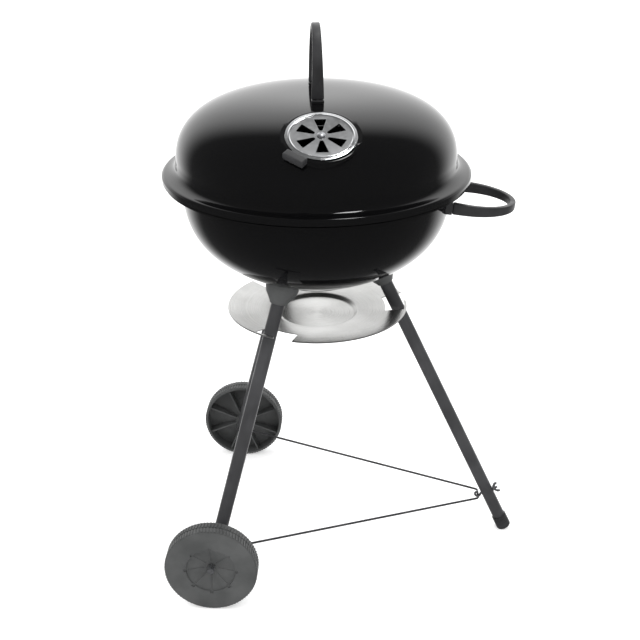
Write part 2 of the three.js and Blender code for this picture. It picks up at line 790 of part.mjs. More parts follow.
function buildLeg(name) {
	const { frame } = legs[name];
	add(frame, `leg_socket_${name}`, socket(frame), greyPlastic);
	add(frame, `leg_screw_${name}`, legScrew(), zinc);
	const plugRadius = tubeRadius - tubeWall - gap;
	const plugTop = socketFloor + gap;
	const bore = legScrewRadius + gap;
	add(frame, `leg_plug_${name}`, ring(bore, plugRadius, plugTop, plugTop + legPlugLength), blackPlastic);
}

for (const name of Object.keys(legs)) buildLeg(name);

const axlePoint = new THREE.Vector3(axleX, 0, wheelRadius);
const wheelInnerFace = wheelTrack - wheelWidth;
const hubInner = wheelInnerFace + hubInset;
const hubOuter = wheelTrack - dishDepth;

function alongY(geometry) {
	return geometry.rotateX(-Math.PI / 2);
}

function atAxle(geometry, y = 0) {
	return geometry.translate(axlePoint.x, y, axlePoint.z);
}

for (const name of ['front', 'back']) {
	const { frame, reach } = legs[name];
	const bore = atAxle(alongY(rod(axleRadius + gap, -wheelTrack, wheelTrack)));
	add(frame, `leg_${name}`, tube(reach + legTipBelowAxle, intoFrame(bore, frame)), tubeFinish);
}

// Foot leg: the hook bolt crosses it, and a moulded cap closes its end on the ground.
const foot = legs.foot;
const footSlope = Math.acos(-foot.along.z);
const footCapRadius = tubeRadius + gap + footCapWall;
const hookPoint = legPointAt(foot, braceHeight);
const hookDistance = hookPoint.distanceTo(foot.frame.position);
// The cap's end stands square to the tube, and the ground trims a flat on its low edge.
const capEnd = foot.reach - (footCapRadius - footFlat) * Math.tan(footSlope);
const footTubeEnd = capEnd - footCapSole - gap;
const hookBore = rod(hookRadius + 2 * gap, -30, 30).rotateY(Math.PI / 2).translate(0, 0, hookDistance);
add(foot.frame, 'leg_foot', tube(footTubeEnd, hookBore), tubeFinish);

function buildFootCap() {
	const outline = [
		[tubeRadius + gap, capEnd - footCapLength],
		[footCapRadius - 0.4, capEnd - footCapLength],
		[footCapRadius, capEnd - footCapLength + 0.8],
		[footCapRadius, capEnd - 2],
		[footCapRadius - 2, capEnd],
		[0, capEnd],
		[0, capEnd - footCapSole],
		[tubeRadius + gap, capEnd - footCapSole],
		[tubeRadius + gap, capEnd - footCapLength],
	];
	const ground = new THREE.BoxGeometry(200, 200, 100).translate(footReach, 0, -50);
	return cut(turned(outline, tubeSides), intoFrame(ground, foot.frame));
}

add(foot.frame, 'foot_cap', buildFootCap(), blackPlastic);

// ---- Wheels -------------------------------------------------------------------------------

add(kettle, 'axle', atAxle(alongY(rod(axleRadius, -wheelTrack + 3, wheelTrack - 3))), zinc);

// Wheel along +Z: z = 0 is the inner face, z = wheelWidth the outer face.
function wheelBody() {
	const dishRadius = wheelRadius * 0.53;
	const skin = 3.2;
	const treadWall = 5;
	const hubRadius = 13;
	const dishLip = wheelWidth - 3.5;
	const dishCentre = wheelWidth - dishDepth;
	const well = 8;
	const tread = wheelRadius - treadWall;
	const outline = [
		[axleRadius + gap, hubInset],
		[hubRadius, hubInset],
		[hubRadius, dishCentre - skin],
		[dishRadius + 2, dishLip - skin],
		[tread, wheelWidth - skin],
		[tread, 0],
		[wheelRadius - 1.5, 0],
		[wheelRadius, 1.5],
		[wheelRadius, wheelWidth - 1.5],
		[wheelRadius - 1.5, wheelWidth],
		[dishRadius, wheelWidth],
		[dishRadius - 0.6, dishLip],
		[well, dishCentre],
		[axleRadius + gap, dishCentre],
		[axleRadius + gap, hubInset],
	];
	const ribs = [];
	const ribDepth = 4;
	const ribSide = [
		[hubRadius - 1, ribDepth],
		[tread + 1, ribDepth],
		[tread + 1, wheelWidth - skin + 1],
		[dishRadius + 2, dishLip - skin + 1],
		[hubRadius - 1, dishCentre - skin + 0.6],
	];
	for (let rib = 0; rib < 8; rib += 1) {
		const web = plate(ribSide, -1.1, 1.1).rotateX(Math.PI / 2);
		ribs.push(turnedCopy(web, 45 * rib + 22.5));
	}
	return join(turned(outline, wheelSides), ...ribs);
}

function buildWheel(side, index) {
	const name = sideNames[index];
	const assembly = new THREE.Group();
	assembly.position.copy(axlePoint);
	assembly.rotation.x = side < 0 ? Math.PI / 2 : -Math.PI / 2;
	kettle.add(assembly);
	add(assembly, `wheel_${name}`, wheelBody(), greyPlastic).position.z = wheelInnerFace;
	const washerTop = hubInner - gap;
	const washer = ring(axleRadius + gap, washerRadius, washerTop - washerThickness, washerTop);
	add(assembly, `axle_washer_${name}`, washer, zinc);
	const capBottom = hubOuter + 1;
	const cap = turned([
		[0, capBottom + axleCap.length + 3],
		[0, capBottom + axleCap.length + 4.5],
		[axleCap.radius - 1.2, capBottom + axleCap.length + 4.5],
		[axleCap.radius, capBottom + axleCap.length + 3.3],
		[axleCap.radius, capBottom],
		[axleRadius + gap, capBottom],
		[axleRadius + gap, capBottom + axleCap.length + 3],
		[0, capBottom + axleCap.length + 3],
	]);
	add(assembly, `axle_cap_${name}`, cap, zinc);
}

[-1, 1].forEach(buildWheel);

// ---- Brace --------------------------------------------------------------------------------

// Direction across the foot leg, pointing out and up.
const hookAlong = new THREE.Vector3(Math.cos(footSlope), 0, Math.sin(footSlope));
const braceApex = hookPoint.clone().addScaledVector(hookAlong, -braceStandoff);

function braceCurve() {
	const eyeY = wheelLegY - braceEyeInset;
	const path = new THREE.CurvePath();
	const corner = (side) => new THREE.Vector3(braceApex.x, side * braceApexHalf, braceApex.z);
	// The wire reaches the axle from above, so that its eye can close under it.
	const arrive = (side) => new THREE.Vector3(axlePoint.x + eyeRadius, side * eyeY, axlePoint.z);
	const eyeAt = (side, degrees) => {
		const angle = THREE.MathUtils.degToRad(degrees);
		const x = axlePoint.x + eyeRadius * Math.cos(angle);
		const z = axlePoint.z + eyeRadius * Math.sin(angle);
		const drift = (degrees / 300) * 4;
		return new THREE.Vector3(x, side * (eyeY - drift), z);
	};
	const points = [];
	for (let degrees = 300; degrees > 0; degrees -= 30) points.push(eyeAt(-1, degrees));
	points.push(arrive(-1));
	const frontEye = new THREE.CatmullRomCurve3(points);
	path.add(frontEye);
	path.add(new THREE.LineCurve3(arrive(-1), corner(-1)));
	path.add(new THREE.LineCurve3(corner(-1), corner(1)));
	path.add(new THREE.LineCurve3(corner(1), arrive(1)));
	const backPoints = points.map((point) => new THREE.Vector3(point.x, -point.y, point.z)).reverse();
	path.add(new THREE.CatmullRomCurve3(backPoints));
	return path;
}

// Straight runs and eyes are made one by one and joined, so that each bend stays sharp.
function buildBrace() {
	const pieces = braceCurve().curves.map((curve) => {
		const steps = curve instanceof THREE.LineCurve3 ? 1 : 12;
		return wire(curve, wireRadius, steps);
	});
	const elbows = [];
	for (const side of [-1, 1]) {
		const elbow = new THREE.IcosahedronGeometry(wireRadius * 1.04, 1);
		elbows.push(elbow.translate(braceApex.x, side * braceApexHalf, braceApex.z));
		const joint = new THREE.IcosahedronGeometry(wireRadius * 1.04, 1);
		elbows.push(joint.translate(axlePoint.x + eyeRadius, side * (wheelLegY - braceEyeInset), axlePoint.z));
	}
	return join(...pieces, ...elbows);
}

add(kettle, 'brace_wire', buildBrace(), darkWire);

// Hook bolt in the leg's frame, turned so that +Z points out of the leg.
const hookFrame = new THREE.Group();
hookFrame.position.copy(hookPoint);
hookFrame.quaternion.setFromUnitVectors(new THREE.Vector3(0, 0, 1), hookAlong);
kettle.add(hookFrame);
const nutSeat = tubeRadius + gap + 0.4;
const boltEnd = nutSeat + wingNut.height + 3;

function hookBolt() {
	const bend = wireRadius + hookRadius + 2 * gap;
	const shankStart = -braceStandoff;
	const path = new THREE.CurvePath();
	const arc = [];
	for (let degrees = 0; degrees <= 210; degrees += 30) {
		const angle = THREE.MathUtils.degToRad(degrees);
		arc.push(new THREE.Vector3(bend * Math.cos(angle), 0, shankStart - bend * Math.sin(angle)));
	}
	const hook = wire(new THREE.CatmullRomCurve3(arc.reverse()), hookRadius, 9);
	const lead = new THREE.Vector3(bend, 0, shankStart);
	const swayRise = 6.7; // the bolt leaves its hook over this length
	const sway = new THREE.CubicBezierCurve3(
		lead,
		new THREE.Vector3(bend, 0, shankStart + swayRise * 0.35),
		new THREE.Vector3(0, 0, shankStart + swayRise * 0.7),
		new THREE.Vector3(0, 0, shankStart + swayRise),
	);
	const bendUp = wire(sway, hookRadius, 4);
	const shank = rod(hookRadius, shankStart + swayRise - 0.2, boltEnd);
	return join(shank, bendUp, hook);
}

add(hookFrame, 'brace_hook_bolt', hookBolt(), zinc);

function wingNutBody() {
	const body = rod(wingNut.radius, nutSeat, nutSeat + wingNut.height);
	const half = wingNut.span / 2;
	const top = nutSeat + wingNut.height;
	const wing = [
		[1, nutSeat + 0.5],
		[wingNut.radius, nutSeat + 0.5],
		[half, top],
		[half, top + 4],
		[half - 3, top + 5],
		[wingNut.radius - 0.5, top - 0.3],
		[1, top - 0.3],
	];
	const wings = [0, 180].map((angle) => {
		const blade = plate(wing, -wingNut.thick / 2, wingNut.thick / 2).rotateX(Math.PI / 2);
		return turnedCopy(blade, angle);
	});
	return cut(join(body, ...wings), rod(hookRadius + gap, nutSeat - 1, top + 1));
}

add(hookFrame, 'brace_wing_nut', wingNutBody(), zinc);

// ---- Ash tray -----------------------------------------------------------------------------

const legsAtTray = Object.values(legs).map((leg) => {
	const point = legPointAt(leg, trayHeight);
	const radius = Math.hypot(point.x, point.y);
	const reach = tubeRadius / -leg.along.z; // half the tube's slanted section
	return { radius, reach, angle: THREE.MathUtils.radToDeg(Math.atan2(point.y, point.x)) };
});
const slotInner = Math.min(...legsAtTray.map(({ radius, reach }) => radius - reach)) - 0.8;
const slotOuter = Math.max(...legsAtTray.map(({ radius, reach }) => radius + reach)) + 1.2;
const trayRadius = slotOuter + trayStrip;
const traySlope = (trayDish - trayRecess) / (trayRadius - trayRecessRadius);

// An L-shaped slot: a pocket round the leg, then a mouth that opens through the rim.
function traySlot({ radius, reach, angle }) {
	const half = THREE.MathUtils.radToDeg(Math.asin(reach / radius));
	const mouthStart = half + trayMouthOffset;
	const mouthEnd = mouthStart + 2 * half + trayMouthSpare;
	const pocketStart = -half - trayMouthSpare;
	const at = (r, degrees) => {
		const turn = THREE.MathUtils.degToRad(degrees);
		return [r * Math.cos(turn), r * Math.sin(turn)];
	};
	const arc = (r, from, to) => {
		const steps = 5;
		const points = [];
		for (let step = 0; step <= steps; step += 1) points.push(at(r, from + ((to - from) * step) / steps));
		return points;
	};
	const outline = [
		...arc(slotOuter, pocketStart, mouthStart),
		...arc(trayRadius + 5, mouthStart, mouthEnd),
		...arc(slotInner, mouthEnd, pocketStart),
	];
	return turnedCopy(plate(outline, trayHeight - 40, trayHeight + 10), angle);
}

function buildTray() {
	const lip = 1.6;
	const upper = [
		[trayRadius, trayHeight - lip],
		[trayRadius - 0.4, trayHeight],
		[trayRecessRadius + 4, trayHeight - traySlope * (trayRadius - trayRecessRadius - 4)],
		[trayRecessRadius + 0.5, trayHeight - trayDish + trayRecess - 0.3],
		[trayRecessRadius - 4.5, trayHeight - trayDish],
		[0, trayHeight - trayDish],
	];
	const lower = upper.slice(1).map(([radius, height]) => [radius, height - traySheet]);
	lower[0] = [trayRadius - traySheet, trayHeight - traySheet - 0.2];
	lower.unshift([trayRadius - traySheet, trayHeight - lip]);
	const dish = turned([...upper, ...lower.slice().reverse(), upper[0]], kettleSides);
	return cut(dish, ...legsAtTray.map(traySlot));
}

add(kettle, 'ash_tray', buildTray(), brushed);

// ---- Placing ------------------------------------------------------------------------------

// The origin is on the ground, under the middle of the grill's box.
kettle.updateMatrixWorld(true);
const bounds = new THREE.Box3().setFromObject(kettle, true);
kettle.position.x = -(bounds.min.x + bounds.max.x) / 2;

const grill = new THREE.Group();
grill.add(kettle);
grill.updateMatrixWorld(true);

export default grill;
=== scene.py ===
# %% [markdown]
# # A kettle charcoal grill
# The grill's frame comes from a CAD model that is already at its real size, in metres. Here every
# piece gets its fine shape and its finish. Nothing in the frame is moved: a fine piece is modelled
# where the plain one stands, and then stands in for it.

# %% Load the frame
import json
import math
import bpy
from mathutils import Matrix, Vector


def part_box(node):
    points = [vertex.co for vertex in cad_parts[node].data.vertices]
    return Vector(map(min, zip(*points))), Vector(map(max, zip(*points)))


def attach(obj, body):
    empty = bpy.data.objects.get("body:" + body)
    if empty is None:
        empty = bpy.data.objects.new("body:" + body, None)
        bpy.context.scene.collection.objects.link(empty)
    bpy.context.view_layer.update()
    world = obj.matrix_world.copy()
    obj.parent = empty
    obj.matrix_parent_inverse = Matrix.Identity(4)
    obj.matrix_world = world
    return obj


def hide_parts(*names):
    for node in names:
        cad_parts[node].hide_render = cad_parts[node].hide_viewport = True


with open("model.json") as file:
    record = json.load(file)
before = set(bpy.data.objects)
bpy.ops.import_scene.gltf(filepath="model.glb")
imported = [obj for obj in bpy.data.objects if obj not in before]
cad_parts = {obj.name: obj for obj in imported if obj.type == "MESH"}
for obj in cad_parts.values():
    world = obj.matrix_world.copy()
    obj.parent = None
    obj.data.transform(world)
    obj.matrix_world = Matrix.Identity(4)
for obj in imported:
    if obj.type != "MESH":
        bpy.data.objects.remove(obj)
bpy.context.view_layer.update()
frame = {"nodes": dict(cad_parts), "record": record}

nodes = frame["nodes"]

# %% [markdown]
# ## Where the kettle stands
# The wheels make the grill wider on one side, so the middle of its box isn't the middle of the
# kettle. The cooking grate is round, so the middle of its own box gives the kettle's axis. All the
# pieces are modelled round that axis, and the lid is turned on it by a few degrees. Pieces are put
# in place by a turn in degrees and a shift in millimetres.

# %% The kettle's axis
mm = 0.001
grate_low, grate_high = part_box("cooking_grate")
axis_x = (grate_low[0] + grate_high[0]) / 2
kettle = Matrix.Translation((axis_x, 0, 0))
rim = 616.3


def turned(degrees, axis):
    return Matrix.Rotation(math.radians(degrees), 4, axis)


def shift(x, y, z):
    return Matrix.Translation((x * mm, y * mm, z * mm))


lid_frame = kettle @ turned(5.7, "Z")
print("kettle axis at x =", round(axis_x * 1000, 2), "mm")

# %% [markdown]
# ## Camera and studio
# The camera looks down at the kettle from a little above it, with a slightly long lens. Light
# falls evenly from all round. Black enamel shows little of its own colour, so what it reflects is
# what makes its shape readable: glossy faces see surroundings that are dark in front and white
# behind, with one small window overhead, and neither the floor nor the fill lights.

# %% Camera
camera_offset = (0.0916, -1.6346, 1.1438)
camera_data = bpy.data.cameras.new("camera")
camera_data.lens = 65.8
camera_data.sensor_width = 36
camera_data.clip_end = 50
camera = bpy.data.objects.new("camera", camera_data)
bpy.context.scene.collection.objects.link(camera)
camera_yaw = -0.0536
camera_pitch = 0.4394
camera_roll = -0.0052
forward = Vector((
    math.sin(camera_yaw) * math.cos(camera_pitch),
    math.cos(camera_yaw) * math.cos(camera_pitch),
    -math.sin(camera_pitch),
))
right = Vector((math.cos(camera_yaw), -math.sin(camera_yaw), 0))
up = right.cross(forward)
level = Matrix((right, up, -forward)).transposed().to_4x4()
camera_roll_turn = Matrix.Rotation(camera_roll, 4, "Z")
camera.matrix_world = kettle @ Matrix.Translation(camera_offset) @ level @ camera_roll_turn
bpy.context.scene.camera = camera
print("camera at", [round(v, 3) for v in camera.matrix_world.translation])

# %% Floor, surroundings and lights
def deselect():
    bpy.ops.object.select_all(action="DESELECT")


def studio_floor():
    deselect()
    bpy.ops.mesh.primitive_plane_add(size=14, location=(0, 0, -0.0005))
    floor = bpy.context.object
    floor.name = "studio_floor"
    finish = bpy.data.materials.new("studio_white")
    finish.use_nodes = True
    shader = finish.node_tree.nodes["Principled BSDF"]
    shader.inputs["Base Color"].default_value = (0.9, 0.9, 0.9, 1)
    shader.inputs["Roughness"].default_value = 0.8
    shader.inputs["Specular IOR Level"].default_value = 0.0
    shader.inputs["Emission Color"].default_value = (1, 1, 1, 1)
    shader.inputs["Emission Strength"].default_value = 0.3
    floor.data.materials.append(finish)
    floor.visible_glossy = False


def soft_panel(name, place, aim, width, height, power, in_enamel=False):
    light = bpy.data.lights.new(name, "AREA")
    light.shape = "RECTANGLE"
    light.size = width
    light.size_y = height
    light.energy = power
    panel = bpy.data.objects.new(name, light)
    bpy.context.scene.collection.objects.link(panel)
    panel.location = place
    panel.visible_glossy = in_enamel
    panel.rotation_euler = (Vector(aim) - Vector(place)).to_track_quat("-Z", "Y").to_euler()


# Y runs from the camera to the back, so it says how far behind the grill a reflection comes from.
def studio_world(dark_until, white_from, dark, white):
    world = bpy.data.worlds.new("studio")
    bpy.context.scene.world = world
    world.use_nodes = True
    tree = world.node_tree
    background = tree.nodes["Background"]
    around = tree.nodes.new("ShaderNodeTexCoord")
    parts = tree.nodes.new("ShaderNodeSeparateXYZ")
    depth = tree.nodes.new("ShaderNodeMapRange")
    depth.interpolation_type = "SMOOTHSTEP"
    depth.inputs["From Min"].default_value = dark_until
    depth.inputs["From Max"].default_value = white_from
    depth.inputs["To Min"].default_value = dark
    depth.inputs["To Max"].default_value = white
    seen = tree.nodes.new("ShaderNodeLightPath")
    choose = tree.nodes.new("ShaderNodeMix")
    choose.inputs["A"].default_value = 1.0
    tree.links.new(around.outputs["Generated"], parts.inputs["Vector"])
    tree.links.new(parts.outputs["Y"], depth.inputs["Value"])
    tree.links.new(seen.outputs["Is Glossy Ray"], choose.inputs["Factor"])
    tree.links.new(depth.outputs["Result"], choose.inputs["B"])
    tree.links.new(choose.outputs["Result"], background.inputs["Strength"])
    background.inputs["Color"].default_value = (1, 1, 1, 1)


def overhead_sun():
    light = bpy.data.lights.new("overhead", "SUN")
    light.energy = 1.1
    light.angle = math.radians(110)
    sun = bpy.data.objects.new("overhead", light)
    sun.visible_glossy = False
    bpy.context.scene.collection.objects.link(sun)


studio_floor()
studio_world(dark_until=0.36, white_from=0.78, dark=0.16, white=1.5)
overhead_sun()
bpy.context.scene.view_settings.view_transform = "Standard"
middle = (axis_x, 0, 0.55)
soft_panel("panel_left", (-2.3, -0.6, 1.5), middle, 1.6, 2.2, 12)
soft_panel("panel_front", (0.6, -2.6, 1.2), middle, 2.2, 1.6, 14)
soft_panel("panel_window", (0.34, 0.3, 2.7), middle, 0.5, 0.3, 9, in_enamel=True)
print("studio has", len(bpy.data.lights), "lights")

# %% [markdown]
# ## Finishes
# Each finish is a small node tree on Object coordinates, so its grain keeps its real size in
# metres on every piece. A number that is the same all over is set on the shader itself. Noise
# drives only what really varies: roughness where fingers and weather reach, a little colour, and
# the height of the grain.

# %% A start for every finish
def finish_start(name, color, roughness, metallic=0.0):
    material = bpy.data.materials.new(name)
    material.use_nodes = True
    shader = material.node_tree.nodes["Principled BSDF"]
    shader.inputs["Base Color"].default_value = (*color, 1)
    shader.inputs["Roughness"].default_value = roughness
    shader.inputs["Metallic"].default_value = metallic
    return material, shader


def new_node(material, kind, **settings):
    node = material.node_tree.nodes.new(kind)
    for key, value in settings.items():
        setattr(node, key, value)
    return node


def grain(material, scale, detail=4.0, stretch=(1, 1, 1)):
    links = material.node_tree.links
    place = new_node(material, "ShaderNodeTexCoord")
    mapping = new_node(material, "ShaderNodeMapping")
    mapping.inputs["Scale"].default_value = stretch
    noise = new_node(material, "ShaderNodeTexNoise")
    noise.inputs["Scale"].default_value = scale
    noise.inputs["Detail"].default_value = detail
    links.new(place.outputs["Object"], mapping.inputs["Vector"])
    links.new(mapping.outputs["Vector"], noise.inputs["Vector"])
    return noise.outputs["Fac"]


def spread(material, source, low, high, start=0.35, end=0.65):
    between = new_node(material, "ShaderNodeMapRange")
    between.inputs["From Min"].default_value = start
    between.inputs["From Max"].default_value = end
    between.inputs["To Min"].default_value = low
    between.inputs["To Max"].default_value = high
    material.node_tree.links.new(source, between.inputs["Value"])
    return between.outputs["Result"]


def two_tones(material, source, dark, light, start=0.35, end=0.65):
    ramp = new_node(material, "ShaderNodeValToRGB")
    ramp.color_ramp.elements[0].position = start
    ramp.color_ramp.elements[1].position = end
    ramp.color_ramp.elements[0].color = (*dark, 1)
    ramp.color_ramp.elements[1].color = (*light, 1)
    material.node_tree.links.new(source, ramp.inputs["Fac"])
    return ramp.outputs["Color"]


def raised(material, shader, source, height, strength=1.0):
    bump = new_node(material, "ShaderNodeBump")
    bump.inputs["Distance"].default_value = height
    bump.inputs["Strength"].default_value = strength
    material.node_tree.links.new(source, bump.inputs["Height"])
    material.node_tree.links.new(bump.outputs["Normal"], shader.inputs["Normal"])


def wire_up(material, shader, color=None, roughness=None):
    links = material.node_tree.links
    if color is not None:
        links.new(color, shader.inputs["Base Color"])
    if roughness is not None:
        links.new(roughness, shader.inputs["Roughness"])


print("finish helpers ready")

# %% [markdown]
# Enamel is glass fired on steel. It is nearly black and very smooth, but never flat: it has a
# faint, wide ripple from the firing, and a thin film of dust and wiping marks dulls it in places.

# %% Black enamel
def black_enamel():
    material, shader = finish_start("black_enamel", (0.006, 0.006, 0.007), 0.05)
    shader.inputs["IOR"].default_value = 1.48
    shader.inputs["Specular IOR Level"].default_value = 0.36
    film = grain(material, 9, 6)
    fleck = grain(material, 900, 2)
    wire_up(material, shader,
            two_tones(material, fleck, (0.002, 0.002, 0.0022), (0.004, 0.004, 0.0044), 0.55, 0.75),
            spread(material, film, 0.035, 0.085))
    raised(material, shader, grain(material, 26, 2), 0.00012, 0.35)
    return material


enamel = black_enamel()
print("made", enamel.name)

# %% [markdown]
# The metals differ by how they were worked. Chrome is smooth with fine wiping marks, the tray is
# brushed in circles as it was spun, and zinc has a fine crystal mottle.

# %% Metals
def chrome_plate():
    material, shader = finish_start("chrome_plate", (0.78, 0.79, 0.80), 0.1, 1.0)
    marks = grain(material, 160, 5)
    wire_up(material, shader,
            two_tones(material, grain(material, 14, 3), (0.70, 0.71, 0.72), (0.84, 0.85, 0.86)),
            spread(material, marks, 0.07, 0.17))
    raised(material, shader, marks, 0.00003, 0.3)
    return material


def brushed_sheet():
    material, shader = finish_start("brushed_sheet", (0.72, 0.72, 0.71), 0.32, 1.0)
    shader.inputs["Anisotropic"].default_value = 0.5
    links = material.node_tree.links
    place = new_node(material, "ShaderNodeTexCoord")
    centre = new_node(material, "ShaderNodeMapping")
    centre.inputs["Location"].default_value = (-axis_x, 0, 0)
    length = new_node(material, "ShaderNodeVectorMath", operation="LENGTH")
    flat = new_node(material, "ShaderNodeVectorMath", operation="MULTIPLY")
    flat.inputs[1].default_value = (1, 1, 0)
    rings = new_node(material, "ShaderNodeTexNoise", noise_dimensions="1D")
    rings.inputs["Scale"].default_value = 1400
    rings.inputs["Detail"].default_value = 3
    links.new(place.outputs["Object"], centre.inputs["Vector"])
    links.new(centre.outputs["Vector"], flat.inputs[0])
    links.new(flat.outputs["Vector"], length.inputs[0])
    links.new(length.outputs["Value"], rings.inputs["W"])
    brushing = rings.outputs["Fac"]
    stain = grain(material, 18, 5)
    wire_up(material, shader,
            two_tones(material, stain, (0.50, 0.50, 0.49), (0.62, 0.62, 0.61)),
            spread(material, brushing, 0.24, 0.42))
    raised(material, shader, brushing, 0.00004, 0.5)
    return material


def zinc_plate():
    material, shader = finish_start("zinc_plate", (0.5, 0.51, 0.53), 0.3, 1.0)
    crystal = new_node(material, "ShaderNodeTexVoronoi")
    crystal.inputs["Scale"].default_value = 700
    place = new_node(material, "ShaderNodeTexCoord")
    material.node_tree.links.new(place.outputs["Object"], crystal.inputs["Vector"])
    mottle = two_tones(material, crystal.outputs["Distance"], (0.42, 0.43, 0.45), (0.6, 0.61, 0.63), 0.1, 0.7)
    wire_up(material, shader, mottle, spread(material, grain(material, 220, 4), 0.22, 0.42))
    raised(material, shader, crystal.outputs["Distance"], 0.00003, 0.3)
    return material


def plated_wire(name, dark, light, low, high, metallic):
    material, shader = finish_start(name, light, high, metallic)
    drawn = grain(material, 420, 4)
    wire_up(material, shader, two_tones(material, grain(material, 60, 4), dark, light),
            spread(material, drawn, low, high))
    raised(material, shader, drawn, 0.00003, 0.4)
    return material


chrome = chrome_plate()
brushed = brushed_sheet()
zinc = zinc_plate()
dark_wire = plated_wire("dark_wire", (0.045, 0.045, 0.047), (0.085, 0.085, 0.088), 0.28, 0.45, 0.6)
grate_plate = plated_wire("grate_plate", (0.5, 0.5, 0.51), (0.66, 0.66, 0.67), 0.18, 0.34, 1.0)
print("made", chrome.name, brushed.name, zinc.name, dark_wire.name, grate_plate.name)

# %% [markdown]
# Moulded plastic takes the grain of its mould, about half a millimetre across. The tubes are
# powder coated, which leaves a finer orange-peel with a satin shine.

# %% Plastics and powder coat
def moulded(name, dark, light, low, high, grain_scale, grain_height):
    material, shader = finish_start(name, light, high)
    shader.inputs["IOR"].default_value = 1.48
    texture = grain(material, grain_scale, 3)
    wire_up(material, shader, two_tones(material, grain(material, 22, 5), dark, light),
            spread(material, grain(material, 70, 4), low, high))
    raised(material, shader, texture, grain_height, 0.5)
    return material


black_plastic = moulded("black_plastic", (0.018, 0.018, 0.019), (0.032, 0.032, 0.034),
                        0.34, 0.5, 1500, 0.00008)
grey_plastic = moulded("grey_plastic", (0.055, 0.057, 0.057), (0.08, 0.082, 0.082),
                       0.42, 0.58, 1300, 0.0001)
powder_coat = moulded("powder_coat", (0.035, 0.035, 0.037), (0.052, 0.052, 0.055),
                      0.28, 0.4, 2400, 0.00005)
print("made", black_plastic.name, grey_plastic.name, powder_coat.name)

# %% [markdown]
# The frame says which slot each node has. Every node gets that slot's finish first, so a node
# that no fine piece stands in for would still look right.

# %% Give every frame node its finish
finish_of_slot = {
    "enamel": enamel,
    "chrome": chrome,
    "black_plastic": black_plastic,
    "grey_plastic": grey_plastic,
    "tube_finish": powder_coat,
    "zinc": zinc,
    "brushed_aluminium": brushed,
    "dark_wire": dark_wire,
    "grate_plate": grate_plate,
}
slot_of_node = {part["node"]: part["material_slot"] for part in frame["record"]["subparts"]}
for name, node in nodes.items():
    node.data.materials.clear()
    node.data.materials.append(finish_of_slot[slot_of_node[name]])
print(len(nodes), "frame nodes have a finish")

# %% [markdown]
# ## Tools for modelling
# Most of the grill is round: it was spun, turned or drawn. So the main tool draws half of a
# section as a line of points, by extruding one vertex, and spins it about the axis. An operator
# acts on all that is selected, so everything is deselected before a piece is started.
#
# Outlines are in millimetres, like the drawings of such a grill, and become metres as they are
# drawn. Points of one place that two steps made are merged when they lie within `same_place`.

# %% Start, select, apply and place
same_place = 2e-6


def only(obj):
    deselect()
    obj.select_set(True)
    bpy.context.view_layer.objects.active = obj


def edit(obj):
    only(obj)
    bpy.ops.object.mode_set(mode="EDIT")


def leave():
    bpy.ops.object.mode_set(mode="OBJECT")


def select_where(obj, kind, test):
    edit(obj)
    bpy.ops.mesh.select_mode(type=kind)
    bpy.ops.mesh.select_all(action="DESELECT")
    leave()
    parts = {"VERT": obj.data.vertices, "EDGE": obj.data.edges, "FACE": obj.data.polygons}[kind]
    for part in parts:
        part.select = test(part)
    bpy.ops.object.mode_set(mode="EDIT")


def modified(obj, kind, **settings):
    only(obj)
    modifier = obj.modifiers.new(kind.lower(), kind)
    for key, value in settings.items():
        setattr(modifier, key, value)
    bpy.ops.object.modifier_apply(modifier=modifier.name)
    return obj


def joined(first, *others):
    only(first)
    for other in others:
        other.select_set(True)
    if others:
        bpy.ops.object.join()
    return first


def boolean(obj, operation, *tools):
    tool = joined(*tools)
    modified(obj, "BOOLEAN", operation=operation, object=tool, solver="EXACT", use_self=len(tools) > 1)
    bpy.data.objects.remove(tool)
    return obj


def apply_place():
    bpy.ops.object.transform_apply(location=True, rotation=True, scale=True)


def settled(obj, place):
    only(obj)
    obj.matrix_world = place
    apply_place()
    return obj


def copied(obj, place):
    only(obj)
    bpy.ops.object.duplicate()
    return settled(bpy.context.object, place)


def stand_in(obj, body, slot, *stands_for, angle=32):
    only(obj)
    bpy.ops.object.shade_smooth_by_angle(angle=math.radians(angle))
    obj.data.materials.clear()
    obj.data.materials.append(finish_of_slot[slot])
    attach(obj, body)
    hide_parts(*stands_for)
    print(obj.name, len(obj.data.polygons), "faces, rides", body)


print("points merge within", same_place * 1000, "mm")

# %% [markdown]
# A sharp corner in an outline is rounded by a short curve, and a line that should flow is drawn
# through its few points by a smooth one.

# %% Outlines: fillets and smooth curves
straight_on = math.radians(172)


def filleted(outline, radius, steps=4):
    points = [Vector(point) for point in outline]
    result = [points[0]]
    for before, corner, after in zip(points, points[1:], points[2:]):
        back, on = before - corner, after - corner
        if back.length < 1e-9 or on.length < 1e-9 or back.angle(on) > straight_on:
            result.append(corner)
            continue
        reach = min(radius, back.length * 0.45, on.length * 0.45)
        start = corner + back.normalized() * reach
        end = corner + on.normalized() * reach
        for step in range(steps + 1):
            share = step / steps
            result.append(start.lerp(corner, share).lerp(corner.lerp(end, share), share))
    return [tuple(point) for point in result + [points[-1]]]


def smooth_line(outline, steps=5):
    points = [Vector(point) for point in outline]
    ends = [2 * points[0] - points[1]] + points + [2 * points[-1] - points[-2]]
    result = []
    for a, b, c, d in zip(ends, ends[1:], ends[2:], ends[3:]):
        for step in range(steps):
            t = step / steps
            result.append(0.5 * (2 * b + (c - a) * t + (2 * a - 5 * b + 4 * c - d) * t * t
                                 + (3 * b - a - 3 * c + d) * t ** 3))
    return [tuple(point) for point in result + [points[-1]]]


print("a fillet turns one corner into", len(filleted([(0, 0), (9, 0), (9, 9)], 2)) - 2, "points")

